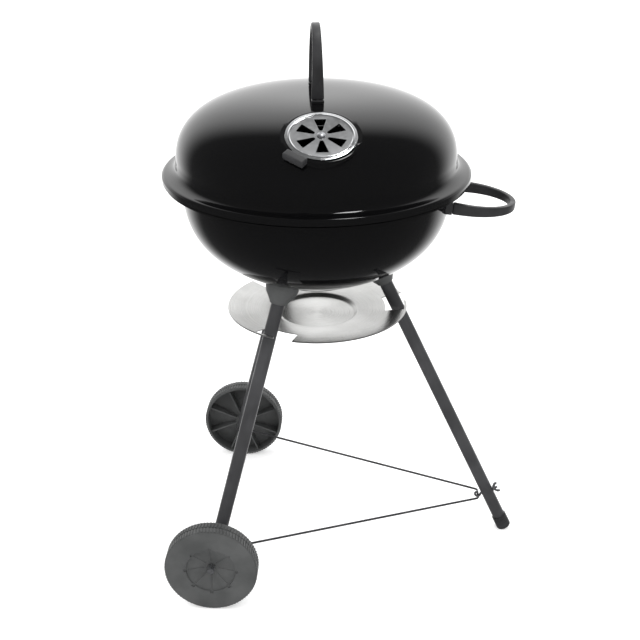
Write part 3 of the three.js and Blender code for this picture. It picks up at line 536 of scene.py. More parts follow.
# %% Draw a line, spin it, fill it or give it a wire's thickness
def drawn(name, points):
    deselect()
    bpy.ops.mesh.primitive_plane_add(size=0.01)
    obj = bpy.context.object
    obj.name = name
    bpy.ops.object.mode_set(mode="EDIT")
    bpy.ops.mesh.select_mode(type="VERT")
    bpy.ops.mesh.select_all(action="SELECT")
    bpy.ops.mesh.merge(type="CENTER")
    at = Vector(points[0]) * mm
    bpy.ops.transform.translate(value=at)
    for place in points[1:]:
        point = Vector(place) * mm
        bpy.ops.mesh.extrude_region_move(TRANSFORM_OT_translate={"value": point - at})
        at = point
    bpy.ops.mesh.select_all(action="SELECT")
    return obj


def spun(name, outline, steps=64):
    obj = drawn(name, [(radius, 0, height) for radius, height in outline])
    bpy.ops.mesh.spin(steps=steps, angle=2 * math.pi, center=(0, 0, 0), axis=(0, 0, 1))
    bpy.ops.mesh.select_all(action="SELECT")
    bpy.ops.mesh.remove_doubles(threshold=same_place)
    bpy.ops.mesh.normals_make_consistent(inside=False)
    leave()
    return obj


def rod(name, radius, low, high, edge=0.0, steps=32):
    outline = [(0, low), (radius, low), (radius, high), (0, high)]
    return spun(name, filleted(outline, edge, 3) if edge else outline, steps)


def sleeve(name, inner, outer, low, high, edge=0.3, steps=48):
    half = (low + high) / 2
    outline = [(inner, half), (inner, low), (outer, low), (outer, high), (inner, high), (inner, half)]
    return spun(name, filleted(outline, edge, 3), steps)


def plate(name, outline, thick):
    obj = drawn(name, [(across, -thick / 2, height) for across, height in outline + outline[:1]])
    bpy.ops.mesh.remove_doubles(threshold=same_place)
    bpy.ops.mesh.edge_face_add()
    bpy.ops.mesh.extrude_region_move(TRANSFORM_OT_translate={"value": (0, thick * mm, 0)})
    bpy.ops.mesh.select_all(action="SELECT")
    bpy.ops.mesh.normals_make_consistent(inside=False)
    leave()
    return obj


def wire_run(name, points, radius, resolution=4):
    obj = drawn(name, points)
    leave()
    only(obj)
    bpy.ops.object.convert(target="CURVE")
    obj = bpy.context.object
    obj.data.bevel_depth = radius * mm
    obj.data.bevel_resolution = resolution
    obj.data.use_fill_caps = True
    bpy.ops.object.convert(target="MESH")
    obj = bpy.context.object
    edit(obj)
    bpy.ops.mesh.select_all(action="SELECT")
    bpy.ops.mesh.remove_doubles(threshold=same_place)
    bpy.ops.mesh.normals_make_consistent(inside=False)
    leave()
    return obj


# Moves each point of a section across the line, to the right of its way.
def offset_line(outline, by):
    points = [Vector(point) for point in outline]
    result = []
    for index, point in enumerate(points):
        way = points[min(index + 1, len(points) - 1)] - points[max(index - 1, 0)]
        result.append(tuple(point + Vector((way.y, -way.x)).normalized() * by))
    return result


# A block whose far end in X can be wider than its near end, with its edges rounded.
def block(name, low, high, far_width=1.0, round_off=0.0, segments=4):
    deselect()
    centre = (Vector(low) + Vector(high)) * mm / 2
    bpy.ops.mesh.primitive_cube_add(size=1, location=centre)
    obj = bpy.context.object
    obj.name = name
    obj.scale = (Vector(high) - Vector(low)) * mm
    apply_place()
    if far_width != 1.0:
        select_where(obj, "VERT", lambda vertex: vertex.co.x > centre.x)
        bpy.ops.transform.resize(value=(1, far_width, 1))
        leave()
    if round_off:
        modified(obj, "BEVEL", width=round_off * mm, segments=segments, limit_method="ANGLE")
    return obj


print("tools: drawn, spun, rod, sleeve, plate, wire_run, offset_line, block")

# %% [markdown]
# ## Where the legs and the handles sit
# A leg's own frame starts at its seat on the bowl, with Z down the tube. The handles have frames at
# the roots of their loops. The holes in the shells need them too, so they come first.

# %% Frames of the legs, the handles and the axle
leg_seat, leg_seat_radius = 465.423, 92
tube_radius, tube_bore = 10, 8.8
axle_x, axle_height = -148, 69.6
screw_spread = 50
leg_tips = {
    "foot": (0, (310, 0, 0)),
    "front": (-120, (axle_x, -193, axle_height)),
    "back": (120, (axle_x, 193, axle_height)),
}


def leg_frame(seat_angle, tip):
    turn = math.radians(seat_angle)
    seat = Vector((leg_seat_radius * math.cos(turn), leg_seat_radius * math.sin(turn), leg_seat))
    along = Vector(tip) - seat
    aim = Vector((0, 0, 1)).rotation_difference(along).to_matrix().to_4x4()
    return kettle @ Matrix.Translation(seat * mm) @ aim, along.length, along.normalized()


legs = {name: leg_frame(*aim) for name, aim in leg_tips.items()}
lid_loop_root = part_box("lid_handle")[0][2]
lid_loop_place = lid_frame @ Matrix.Translation((0, 0, lid_loop_root))
bowl_loop_root, bowl_loop_drop = 196.785, 38.5
bowl_loop_place = kettle @ shift(bowl_loop_root, 0, rim - bowl_loop_drop) @ turned(96, "Y")
axle_place = kettle @ shift(axle_x, 0, axle_height)
sides = {"front": -1, "back": 1}


# The two holes that a loop's screws pass through, from `low` to `high` in the loop's own frame.
def screw_holes(loop_place, low, high):
    holes = []
    for side in sides.values():
        hole = rod("screw_hole", 2.9, low, high)
        holes.append(settled(hole, loop_place @ shift(0, side * screw_spread, 0)))
    return holes


print("leg lengths", {name: round(length, 1) for name, (_, length, _) in legs.items()})

# %% [markdown]
# ## Lid
# The lid is pressed from one sheet: a dome with soft shoulders, a hollow flare at its foot and a
# turned-down edge. A quarter of a superellipse gives the dome: its two powers say how square the
# shoulder is. The round flat that carries the vent is pressed into the slope, so a tilted disc is
# joined to the dome before the sheet gets its thickness.

# %% The dome's section
sheet = 1.5
lid_rim = (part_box("lid_shell")[1][0] - axis_x) / mm
dome_wall, dome_flare, dome_height = 200.1, 0.2142, 115.3


def superellipse(radius, rise, side, crown, steps):
    line = []
    for step in range(steps + 1):
        angle = step / steps * math.pi / 2
        across = max(math.cos(angle), 0) ** (2 / side) if step < steps else 0
        line.append((radius * across, rise * math.sin(angle) ** (2 / crown)))
    return line


def dome_section():
    dome = [(r * (1 + dome_flare * z / dome_wall), z)
            for r, z in superellipse(dome_wall, dome_height, 3.014, 2.226, 56)]
    dome = [point for point in dome if point[1] > 20]
    flare = lid_rim - dome[0][0]
    shares = [(0.05, 3), (0.15, 4.7), (0.4, 6.0), (0.62, 7.6), (0.8, 10), (0.93, 14)]
    hollow = smooth_line([(lid_rim - share * flare, z) for share, z in shares] + [dome[0]], 4)
    edge = filleted([(lid_rim, -4.5), (lid_rim, 2.2), hollow[0]], 1.2)
    return [(r, rim + z) for r, z in edge + hollow[1:] + dome[1:]]


lid_section = dome_section()
print("dome section has", len(lid_section), "points, rim", round(lid_rim, 1), "mm")

# %% [markdown]
# The vent has six wedge-shaped holes. One wedge is a block whose far end is widened and whose four
# upright edges are rounded, and the others are copies of it, turned. They cut the shell and the
# shutter alike; a small inset makes the shell's holes narrower than the shutter's.

# %% The vent's flat and its holes
vent_out, vent_up, vent_radius = 148, 93.2, 54
vent_place = lid_frame @ shift(0, -vent_out, rim + vent_up) @ turned(23.5, "X")
pivot_radius = 3.4


def upright(obj, edge):
    one, other = (obj.data.vertices[index].co for index in edge.vertices)
    return all(abs(one[axis] - other[axis]) < 1e-6 for axis in (0, 1))


def vent_cutters(inset, low, high, turn):
    near, far = 10, 33.6
    near_half, far_half = 2.1, 8.5
    first = block("vent_cutter", (near + inset, -near_half, low), (far - inset, near_half, high))
    select_where(first, "VERT", lambda vertex: vertex.co.x > (near + far) / 2 * mm)
    bpy.ops.transform.resize(value=(1, (far_half - inset) / near_half, 1))
    leave()
    select_where(first, "EDGE", lambda edge: upright(first, edge))
    bpy.ops.mesh.bevel(offset=1.3 * mm, segments=4, affect="EDGES")
    leave()
    cutters = [copied(first, turned(turn + 60 * hole, "Z")) for hole in range(6)]
    bpy.data.objects.remove(first)
    return cutters


def lid_dome():
    base = lid_section[0][1]
    dome = settled(spun("lid_dome", [(0, base)] + lid_section, 144), lid_frame)
    sky = settled(rod("sky", vent_radius, 0, 40, steps=96), vent_place)
    flat = spun("flat", filleted([(0, -30), (vent_radius, -30), (vent_radius, 0), (0, 0)], 3, 6), 96)
    boolean(dome, "DIFFERENCE", sky)
    boolean(dome, "UNION", settled(flat, vent_place))
    select_where(dome, "FACE", lambda face: face.normal.z < -0.99 and face.center.z < (base + 0.5) * mm)
    bpy.ops.mesh.delete(type="ONLY_FACE")
    bpy.ops.mesh.select_all(action="SELECT")
    bpy.ops.mesh.remove_doubles(threshold=1e-5)
    leave()
    modified(dome, "SOLIDIFY", thickness=sheet * mm, offset=-1)
    holes = vent_cutters(0.5, -9, 9, 90)
    holes.append(rod("pivot_hole", pivot_radius, -9, 9))
    holes = [settled(hole, vent_place) for hole in holes]
    holes += screw_holes(lid_loop_place, -30, 5)
    boolean(dome, "DIFFERENCE", *holes)
    stand_in(dome, "lid", "enamel", "lid_shell", angle=28)


lid_dome()

# %% [markdown]
# ## Vent shutters
# A shutter is a thin disc with the same six wedge holes as the shell, and it turns on a rivet. A
# shallow ring pressed near its edge keeps it stiff and catches the light.

# %% Shutters, grips and rivets
shutter_lift = shift(0, 0, 0.3)
shutter_thick = 1.2
tab_reach = 14


def shutter(name, radius, grip_angle, hole_turn, place, body, slot_name, node):
    thick = shutter_thick
    ring = smooth_line([(radius - 7, thick), (radius - 5.2, 1.9), (radius - 3.4, thick)], 5)
    top = [(0, thick)] + ring + [(radius, thick)]
    disc = spun(name, filleted([(0, 0), (radius, 0)] + top[::-1], 0.5, 3), 128)
    tab = block("tab", (radius / 2, -12, 0.05), (radius + tab_reach, 12, 1.15), round_off=0.4)
    settled(tab, turned(grip_angle, "Z"))
    boolean(disc, "UNION", tab)
    pivot = rod("pivot_hole", pivot_radius, -2, 4)
    boolean(disc, "DIFFERENCE", pivot, *vent_cutters(0, -2, 4, hole_turn))
    settled(disc, place @ shutter_lift)
    stand_in(disc, body, slot_name, node)


def shutter_grip(name, radius, grip_angle, seat, place, body, node):
    half = 6.5
    middle = radius + tab_reach - half + 2
    grip = block(name, (middle - half, -16.5, -3.8), (middle + half, 16.5, 6.2), round_off=2.6, segments=6)
    slot_cut = block("slot_cut", (-radius - 20, -12.3, -0.3), (radius + tab_reach + 0.3, 12.3, 1.5))
    seat_cut = rod("seat_cut", seat + 0.6, -9, -0.15, steps=96)
    boolean(grip, "DIFFERENCE", slot_cut)
    boolean(grip, "DIFFERENCE", seat_cut)
    turn = turned(grip_angle, "Z")
    settled(grip, place @ shutter_lift @ turn)
    stand_in(grip, body, "black_plastic", node)


def vent_rivet(name, place, body, node):
    foot, head = -1.8, 1.8
    section = [(0, foot - 1.6), (5, foot - 1.6), (5, foot), (3, foot), (3, head), (6, head)]
    crown = [(6 * math.cos(a), head + 2.4 * math.sin(a)) for a in [k * math.pi / 16 for k in range(1, 9)]]
    rivet = settled(spun(name, section + crown[:-1] + [(0, head + 2.4)], 40), place)
    stand_in(rivet, body, "zinc", node)


lid_grip_angle, under_grip_angle = 231, 180
shutter("lid_shutter", 48, lid_grip_angle, 90, vent_place, "lid_vent", "chrome", "lid_vent_disc")
shutter_grip("lid_shutter_grip", 48, lid_grip_angle, 54, vent_place, "lid_vent", "lid_vent_grip")
vent_rivet("lid_shutter_rivet", vent_place, "lid", "lid_vent_rivet")
under_place = kettle @ shift(0, 0, 453.8) @ turned(180, "X")
shutter("bowl_shutter", 50, under_grip_angle, 0, under_place, "bowl_vent", "brushed_aluminium",
        "bowl_vent_disc")
shutter_grip("bowl_shutter_grip", 50, under_grip_angle, 68, under_place, "bowl_vent", "bowl_vent_grip")
vent_rivet("bowl_shutter_rivet", under_place, "stand", "bowl_vent_rivet")

# %% [markdown]
# ## Loop handles
# Both handles are the same moulded strap, bent into a tall loop: wide at its feet and narrower at
# its top. The strap's section is drawn once and carried along the loop, turning a little at every
# step, and a bevel then rounds its four long edges.

# %% The strap
loop_height, loop_bulge = 94.5, 3.2
strap_foot, strap_top, strap_thick = 17.5, 12, 8.5


def loop_line():
    straight, widest = loop_height * 0.3, screw_spread + loop_bulge
    rise = loop_height - strap_thick / 2 - straight
    foot = []
    for step in range(5):
        across = screw_spread + loop_bulge * math.sin(step / 5 * math.pi / 2)
        foot.append((-across, straight * step / 5))
    top = []
    for step in range(41):
        turn = step / 40 * math.pi
        top.append((-widest * math.cos(turn), straight + rise * math.sin(turn)))
    return foot + top + [(-across, height) for across, height in foot[::-1]]


def strap_loop(name):
    line = [Vector((0, across, height)) * mm for across, height in loop_line()]
    deselect()
    bpy.ops.mesh.primitive_plane_add(size=1, location=line[0])
    obj = bpy.context.object
    obj.name = name
    obj.scale = (strap_foot * mm, strap_thick * mm, 1)
    apply_place()
    bpy.ops.object.mode_set(mode="EDIT")
    bpy.ops.mesh.select_all(action="SELECT")
    width, lean = 1.0, 0.0
    for index in range(1, len(line)):
        ahead = line[min(index + 1, len(line) - 1)] - line[index - 1]
        new_lean = math.pi if index == len(line) - 1 else math.atan2(ahead.y, ahead.z)
        new_width = 1 - (1 - strap_top / strap_foot) * line[index].z / (loop_height * mm)
        bpy.ops.mesh.extrude_region_move(TRANSFORM_OT_translate={"value": line[index] - line[index - 1]})
        bpy.ops.transform.rotate(value=new_lean - lean, orient_axis="X", center_override=line[index])
        bpy.ops.transform.resize(value=(new_width / width, 1, 1), center_override=line[index])
        width, lean = new_width, new_lean
    bpy.ops.mesh.select_all(action="SELECT")
    bpy.ops.mesh.normals_make_consistent(inside=False)
    leave()
    return modified(obj, "BEVEL", width=2.2 * mm, segments=5, limit_method="ANGLE",
                    angle_limit=math.radians(50))


for name, place, body in (("lid", lid_loop_place, "lid"), ("bowl", bowl_loop_place, "stand")):
    loop = settled(strap_loop(f"{name}_loop"), place)
    stand_in(loop, body, "black_plastic", f"{name}_handle")

# %% [markdown]
# ## Bowl
# The bowl is deep and round, with a crease low down where its wall turns into a shallow cone, and
# a flat bottom for the vent. Its flange lies just inside the lid's turned-down edge.

# %% The bowl's section
bowl_radius, bowl_depth = 194.8, 163.9
crease_radius, bottom_radius, bottom_drop = 118, 68, 162.5


def bowl_wall():
    wall = [(r, rim - 6 - z) for r, z in superellipse(bowl_radius, bowl_depth, 1.517, 2.961, 60)]
    wall = [point for point in wall if point[0] > crease_radius and point[1] < rim - 14]
    base = filleted([wall[-1], (bottom_radius, rim - bottom_drop), (0, rim - bottom_drop)], 3)
    return wall + base[1:]


def bowl_section():
    rim_radius = lid_rim - 3
    top = -4.5 - 0.6 - sheet
    flange = rim_radius - bowl_radius
    shares = [(0.4, top + 0.4), (0.68, top + 2.6), (0.82, 1.6), (0.91, 3), (1, 1.6), (1.02, -3)]
    turned_down = [(rim_radius, top - 2.6), (rim_radius, top), (rim_radius - 0.4 * flange, top + 0.4)]
    edge = filleted(turned_down, 1)
    bead = smooth_line([(rim_radius - share * flange, z) for share, z in shares], 5)
    return [(r, rim + z) for r, z in edge[:-1] + bead] + bowl_wall()


def bowl_body():
    section = bowl_section()
    bowl = settled(spun("bowl_body", section, 144), kettle)
    modified(bowl, "SOLIDIFY", thickness=sheet * mm, offset=-1)
    holes = vent_cutters(0.5, -9, 6, 0)
    holes.append(rod("pivot_hole", pivot_radius, -9, 6))
    holes = [settled(hole, under_place) for hole in holes]
    holes += [settled(rod("screw_hole", 3.4, -12, 12), place) for place, _, _ in legs.values()]
    holes += screw_holes(bowl_loop_place, -40, 5)
    boolean(bowl, "DIFFERENCE", *holes)
    stand_in(bowl, "stand", "enamel", "bowl_shell", angle=28)


bowl_body()

# %% [markdown]
# ## Pads, blocks and screws of the handles
# The lid's handle stands on two thin pads, and the bowl's on two thicker blocks. Each is cut to the
# curve it lies on, so that it touches all round. Every screw has a pan head with a cross recess.

# %% Solids that the other pieces are fitted against
def dome_space(by):
    outline = offset_line(lid_section, by)
    return settled(spun("dome_space", [(0, outline[0][1])] + outline, 144), lid_frame)


def bowl_space(by):
    outline = offset_line(bowl_wall(), -by)
    return settled(spun("bowl_space", [(0, outline[0][1])] + outline, 144), kettle)


def pan_screw(name, head, low, high, shank, end, place, body, node):
    outline = [(0, low), (head, low), (head, high), (shank, high), (shank, end), (0, end)]
    screw = spun(name, filleted(outline, 1.3, 5), 40)
    recess = [
        block("recess", (-head * 0.55, -0.55, low - 1), (head * 0.55, 0.55, low + 1.4)),
        block("recess", (-0.55, -head * 0.55, low - 1), (0.55, head * 0.55, low + 1.4)),
    ]
    boolean(screw, "DIFFERENCE", *recess)
    settled(screw, place)
    stand_in(screw, body, "zinc", node)


def standoff(name, depth, width, low, place, space, body, node):
    pad = block(name, (-depth / 2, -width / 2, low), (depth / 2, width / 2, -0.3), round_off=1.1)
    boolean(pad, "DIFFERENCE", rod("bore", 2.9, low - 1, 1))
    settled(pad, place)
    boolean(pad, "DIFFERENCE", space)
    stand_in(pad, body, "black_plastic", node)


lid_screw_low = (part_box("lid_handle_screw_front")[0][2] - lid_loop_root) / mm
bowl_screw_low = -17.8
head_radius, head_high, shank_radius, screw_end = 5.5, 2.6, 2.5, 16
for name, side in sides.items():
    place = lid_loop_place @ shift(0, side * screw_spread, 0)
    standoff(f"lid_pad_{name}", strap_foot, 11.5, -6.8, place, dome_space(0.3), "lid",
             f"lid_handle_pad_{name}")
    pan_screw(f"lid_screw_{name}", head_radius, lid_screw_low, lid_screw_low + head_high, shank_radius,
              screw_end, place, "lid", f"lid_handle_screw_{name}")
    place = bowl_loop_place @ shift(0, side * screw_spread, 0)
    standoff(f"bowl_block_{name}", strap_foot, 12.5, -23, place, bowl_space(0.3), "stand",
             f"bowl_handle_block_{name}")
    pan_screw(f"bowl_screw_{name}", head_radius, bowl_screw_low, bowl_screw_low + head_high, shank_radius,
              screw_end, place, "stand", f"bowl_handle_screw_{name}")

# %% [markdown]
# ## Grates
# Both grates are round rings with straight bars welded on. A small flattened bead of weld sits where each
# long bar meets the ring, and the two cross bars, which have no beads, lie under the others.

# %% Bars and welds
ring_wire, bar_wire = 3, 2


def grate_bar(across, half, height, along_x):
    location = (0, across, height) if along_x else (across, 0, height)
    turn = (0, math.pi / 2, 0) if along_x else (math.pi / 2, 0, 0)
    deselect()
    bpy.ops.mesh.primitive_cylinder_add(vertices=14, radius=bar_wire * mm, depth=2 * half * mm,
                                        location=Vector(location) * mm, rotation=turn)
    bar = bpy.context.object
    apply_place()
    return modified(bar, "BEVEL", width=0.5 * mm, segments=2, limit_method="ANGLE",
                    angle_limit=math.radians(50))


def weld_bead(x, y, height):
    deselect()
    bpy.ops.mesh.primitive_uv_sphere_add(segments=12, ring_count=8, radius=2.4 * mm,
                                         location=Vector((x, y, height)) * mm)
    bead = bpy.context.object
    bpy.ops.transform.resize(value=(1.1, 1.1, 0.7))
    apply_place()
    return bead


print("ring wire", 2 * ring_wire, "mm thick, bars", 2 * bar_wire, "mm")

# %% The two grates
def wire_grate(name, radius, bars, height, slot_name, body, node):
    deselect()
    bpy.ops.mesh.primitive_torus_add(major_radius=radius * mm, minor_radius=ring_wire * mm,
                                     major_segments=144, minor_segments=16)
    ring = bpy.context.object
    ring.name = name
    inner = radius - 1.2
    pieces = []
    for index in range(bars):
        across = -radius + 2 * radius * (index + 1) / (bars + 1)
        half = math.sqrt(inner ** 2 - across ** 2)
        pieces.append(grate_bar(across, half, 0.9, True))
        pieces += [weld_bead(end * (half - 1.5), across, 0.6) for end in (-1, 1)]
    for across in (-0.45 * radius, 0.45 * radius):
        half = math.sqrt(inner ** 2 - across ** 2)
        pieces.append(grate_bar(across, half, -2.1, False))
    joined(ring, *pieces)
    settled(ring, kettle @ Matrix.Translation((0, 0, height)))
    stand_in(ring, body, slot_name, node)


def ring_height(node):
    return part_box(node)[1][2] - ring_wire * mm


cooking_radius = (grate_high[0] - grate_low[0]) / 2 / mm - ring_wire
charcoal_radius = 150
wire_grate("cooking_wires", cooking_radius, 13, ring_height("cooking_grate"), "grate_plate",
           "cooking_grate", "cooking_grate")
wire_grate("charcoal_wires", charcoal_radius, 8, ring_height("charcoal_grate"), "dark_wire",
           "charcoal_grate", "charcoal_grate")

# %% [markdown]
# The cooking grate rests on three small tabs. A tab is a block that runs on into the wall, and only
# what lies inside the bowl is kept, so its outer end follows the curve of the wall.

# %% Tabs that carry the cooking grate
tab_half_width = 9
tab_low, tab_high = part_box("grate_support_1")
tab_from, tab_to = tab_low[1] / mm, tab_high[1] / mm + 3
for index, angle in enumerate((90, 210, 330)):
    tab = block(f"grate_tab_{index + 1}", (tab_from, -tab_half_width, tab_low[2] / mm),
                (tab_to, tab_half_width, tab_high[2] / mm), round_off=0.7)
    settled(tab, kettle @ turned(angle, "Z"))
    boolean(tab, "INTERSECT", bowl_space(-sheet - 0.3))
    stand_in(tab, "stand", "zinc", f"grate_support_{index + 1}")

# %% [markdown]
# ## Legs
# Each leg is a tube in a moulded cup. The cup hugs the bowl, so it is spun as a flared body and the
# bowl is taken out of it. A screw from inside the bowl goes through the cup into a plug in the tube.

# %% Cups, plugs and screws
over_tube = tube_radius + 0.3
cup_floor = 9
tube_start = cup_floor + 0.3


def leg_cup(name, place):
    flare = smooth_line([(13.8, 24), (17.64, 17.82), (22.05, 11.34), (23.9, 5.94), (24.5, 3.78)], 5)
    mouth = filleted([(over_tube, 18), (over_tube, 27), (12.6, 27), (13.8, 24)], 0.7)
    inside = [(3.4, -8), (3.4, cup_floor), (over_tube, cup_floor)]
    outline = [(over_tube, cup_floor)] + mouth[:-1] + flare + [(24.5, -8)] + inside
    cup = settled(spun(f"leg_cup_{name}", outline, 72), place)
    boolean(cup, "DIFFERENCE", bowl_space(0.3))
    stand_in(cup, "stand", "grey_plastic", f"leg_socket_{name}", angle=35)


def leg_fixings(name, place):
    leg_cup(name, place)
    plug = sleeve(f"leg_plug_piece_{name}", 3.3, 8.5, tube_start, tube_start + 14, 0.5)
    stand_in(settled(plug, place), "stand", "black_plastic", f"leg_plug_{name}")
    pan_screw(f"leg_cup_screw_{name}", 7, -9.1, -6.1, 3, 21, place, "stand", f"leg_screw_{name}")


for name, (place, _, _) in legs.items():
    leg_fixings(name, place)

# %% The two legs that hold the axle
axle_bore = 4.3
axle_turn = turned(90, "X")


def leg_tube(name, end, place):
    tube = sleeve(f"leg_tube_{name}", tube_bore, tube_radius, tube_start, end, 0.35, 64)
    return settled(tube, place)


for name in sides:
    place, length, _ = legs[name]
    tube = leg_tube(name, length + 13, place)
    bore = rod("bore", axle_bore, -240, 240)
    boolean(tube, "DIFFERENCE", settled(bore, axle_place @ axle_turn))
    stand_in(tube, "stand", "tube_finish", f"leg_{name}")

# %% [markdown]
# The third leg ends on the ground in a cap that hugs the tube, with three grip rings turned into
# it. The cap leans with the leg, so what would lie below the ground is cut away. A bolt for the
# brace goes through this leg, square to it.

# %% Foot leg and its cap
hook_height = 70
cap_radius, cap_groove, cap_length, cap_base = 11.7, 0.4, 24, 5
foot_place, foot_length, foot_along = legs["foot"]
hook_along = Vector((-foot_along.z, 0, foot_along.x))
hook_distance = (hook_height - leg_seat) / foot_along.z
hook_point = Vector((leg_seat_radius, 0, leg_seat)) + foot_along * hook_distance
cap_end = foot_length - (cap_radius - 8) * foot_along.x / -foot_along.z

foot_tube = leg_tube("foot", cap_end - cap_base - 0.3, foot_place)
bolt_bore = settled(rod("bore", 2.6, -30, 30), turned(90, "Y"))
settled(bolt_bore, foot_place @ shift(0, 0, hook_distance))
boolean(foot_tube, "DIFFERENCE", bolt_bore)
stand_in(foot_tube, "stand", "tube_finish", "leg_foot")


def foot_cap_piece():
    top, floor, groove = cap_end - cap_length, cap_end - cap_base, cap_radius - cap_groove
    grip = []
    for height in (19.5, 16.5, 13.5):
        ring = cap_end - height
        grip += [(cap_radius, ring - 0.8), (groove, ring - 0.4)]
        grip += [(groove, ring + 0.4), (cap_radius, ring + 0.8)]
    side = [(groove, top), (cap_radius, top + 0.8)] + grip + [(cap_radius, cap_end - 2), (9.7, cap_end)]
    inside = [(0, cap_end), (0, floor), (over_tube, floor), (over_tube, top)]
    outline = [(over_tube, top)] + side + inside
    cap = settled(spun("foot_cap_piece", filleted(outline, 0.5, 2), 64), foot_place)
    boolean(cap, "DIFFERENCE", block("ground", (-500, -100, -60), (500, 100, 0)))
    stand_in(cap, "stand", "black_plastic", "foot_cap")


foot_cap_piece()

# %% [markdown]
# ## Wheels
# A wheel is one moulding: a skin with a dish in its outer face, ribs behind it, and a tread of two
# rows of slanted blocks. Grooves run out over the dish to small notches in its lip.

# %% A wheel's skin and ribs
ribs_per_wheel = 8
rib_angle = 360 / ribs_per_wheel
hub_bore = axle_bore


def wheel_skin():
    hub = [(hub_bore, 8), (hub_bore, 0.9), (13, 0.9), (13, 12.2)]
    inside = [(38.9, 20.7), (64.6, 24.2), (64.6, 0), (67.6, 0)]
    tread = [(68.4, 0.9), (68.4, 12.7), (67.4, 13.1), (67.4, 14.3), (68.4, 14.7), (68.4, 26.5), (67.4, 27.4)]
    outside = [(36.9, 27.4), (36.3, 23.9), (8, 15.4), (hub_bore, 15.4), (hub_bore, 8)]
    return spun("wheel_skin", filleted(hub + inside + tread + outside, 0.9, 3), 128)


def wheel_ribs():
    side = [(12, 4), (65.6, 4), (65.6, 25.2), (38.9, 21.7), (12, 12.8)]
    ribs = []
    for index in range(ribs_per_wheel):
        rib = plate("rib", side, 2.2)
        ribs.append(settled(rib, turned(rib_angle * (index + 0.5), "Z")))
    return ribs


print(ribs_per_wheel, "ribs, one every", rib_angle, "degrees")

# %% Grooves, notches and tread
def dish_marks():
    marks = []
    slope = math.atan2(8.5, 28.3)
    for index in range(ribs_per_wheel):
        turn = turned(rib_angle * index, "Z")
        groove = block("groove", (-12.5, -1.5, -0.7), (12.5, 1.5, 2.5), round_off=0.5, segments=3)
        lean = shift(22.5, 0, 19.76) @ Matrix.Rotation(-slope, 4, "Y")
        marks.append(settled(groove, turn @ lean))
        notch = block("notch", (34, -2.6, 25.4), (40.5, 2.6, 29), round_off=0.6, segments=3)
        marks.append(settled(notch, turn))
    return marks


tread_blocks = 88


def tread_row(low, high, slant, start):
    tab = block("tread_block", (67.6, -1.45, low), (69.5, 1.45, high))
    select_where(tab, "VERT", lambda vertex: vertex.co.z > (low + high) / 2 * mm)
    bpy.ops.transform.translate(value=(0, slant * mm, 0))
    leave()
    modified(tab, "BEVEL", width=0.3 * mm, segments=1, limit_method="ANGLE")
    settled(tab, turned(start, "Z"))
    edit(tab)
    bpy.ops.mesh.select_all(action="SELECT")
    bpy.ops.mesh.spin(steps=tread_blocks, dupli=True, angle=2 * math.pi, center=(0, 0, 0), axis=(0, 0, 1))
    bpy.ops.mesh.select_all(action="SELECT")
    bpy.ops.mesh.remove_doubles(threshold=same_place)
    leave()
    return tab


print("tread: two rows of", tread_blocks, "blocks")

# %% Both wheels
hub_from_middle = 206.6


def wheel_moulding():
    wheel = boolean(wheel_skin(), "UNION", *wheel_ribs())
    boolean(wheel, "DIFFERENCE", *dish_marks())
    half_block = 360 / tread_blocks / 2
    return joined(wheel, tread_row(1.6, 12.6, 1.4, 0), tread_row(14.8, 25.8, -1.4, half_block))


def wheel_side(side):
    return axle_place @ turned(-side * 90, "X")


wheel = wheel_moulding()
for name, side in sides.items():
    moulding = copied(wheel, wheel_side(side) @ shift(0, 0, hub_from_middle))
    moulding.name = f"wheel_moulding_{name}"
    stand_in(moulding, f"wheel_{name}", "grey_plastic", f"wheel_{name}")
bpy.data.objects.remove(wheel)

# %% [markdown]
# The axle is a plain rod. A washer keeps each wheel off its leg, and a pressed cap with a rounded
# end holds the wheel on. Washers and caps are drawn along the axle, in millimetres from its middle.

# %% Axle, washers and caps
axle_end, cap_start, cap_face = 231, 223, 236.5
axle_rod = settled(rod("axle_rod", 4, -axle_end, axle_end, 0.8, 48), axle_place @ axle_turn)
stand_in(axle_rod, "stand", "zinc", "axle")
for name, side in sides.items():
    washer = sleeve(f"washer_{name}", axle_bore, 8.2, 205.6, 207.2, 0.3)
    stand_in(settled(washer, wheel_side(side)), "stand", "zinc", f"axle_washer_{name}")
    shell = [(0, cap_face), (4.2, cap_face), (5.4, cap_face - 1.2), (5.4, cap_start)]
    outline = shell + [(axle_bore, cap_start), (axle_bore, cap_face - 1.5), (0, cap_face - 1.5)]
    cap = spun(f"push_cap_{name}", filleted(outline, 0.7, 4), 48)
    stand_in(settled(cap, wheel_side(side)), "stand", "zinc", f"axle_cap_{name}")

# %% [markdown]
# ## Brace
# One wire runs from an eye round the axle to the foot leg and back to a second eye. A hook bolt
# through the leg holds its narrow end, and a wing nut pulls the hook tight.

# %% The brace's wire
brace_wire_radius, eye_radius, eye_place = 1.75, 6.6, 180
hook_reach = 16


def brace_line():
    apex = hook_point - hook_along * hook_reach
    eye = []
    for degrees in range(300, 0, -12):
        turn = math.radians(degrees)
        drift = degrees / 300 * 4
        across = axle_x + eye_radius * math.cos(turn)
        eye.append((across, -(eye_place - drift), axle_height + eye_radius * math.sin(turn)))
    half = eye + [(axle_x + eye_radius, -eye_place, axle_height), (apex.x, -13, apex.z)]
    return filleted(half + [(x, -y, z) for x, y, z in half[::-1]], 4, 4)


brace = settled(wire_run("brace_rod", brace_line(), brace_wire_radius), kettle)
stand_in(brace, "stand", "dark_wire", "brace_wire", angle=50)

# %% Hook bolt
def threaded(name, radius, low, high, pitch):
    outline = [(0, low)]
    for turn in range(int((high - low) / pitch)):
        outline += [(radius - 0.28, low + turn * pitch), (radius, low + (turn + 0.5) * pitch)]
    return spun(name, outline + [(radius - 0.28, high), (0, high)], 24)


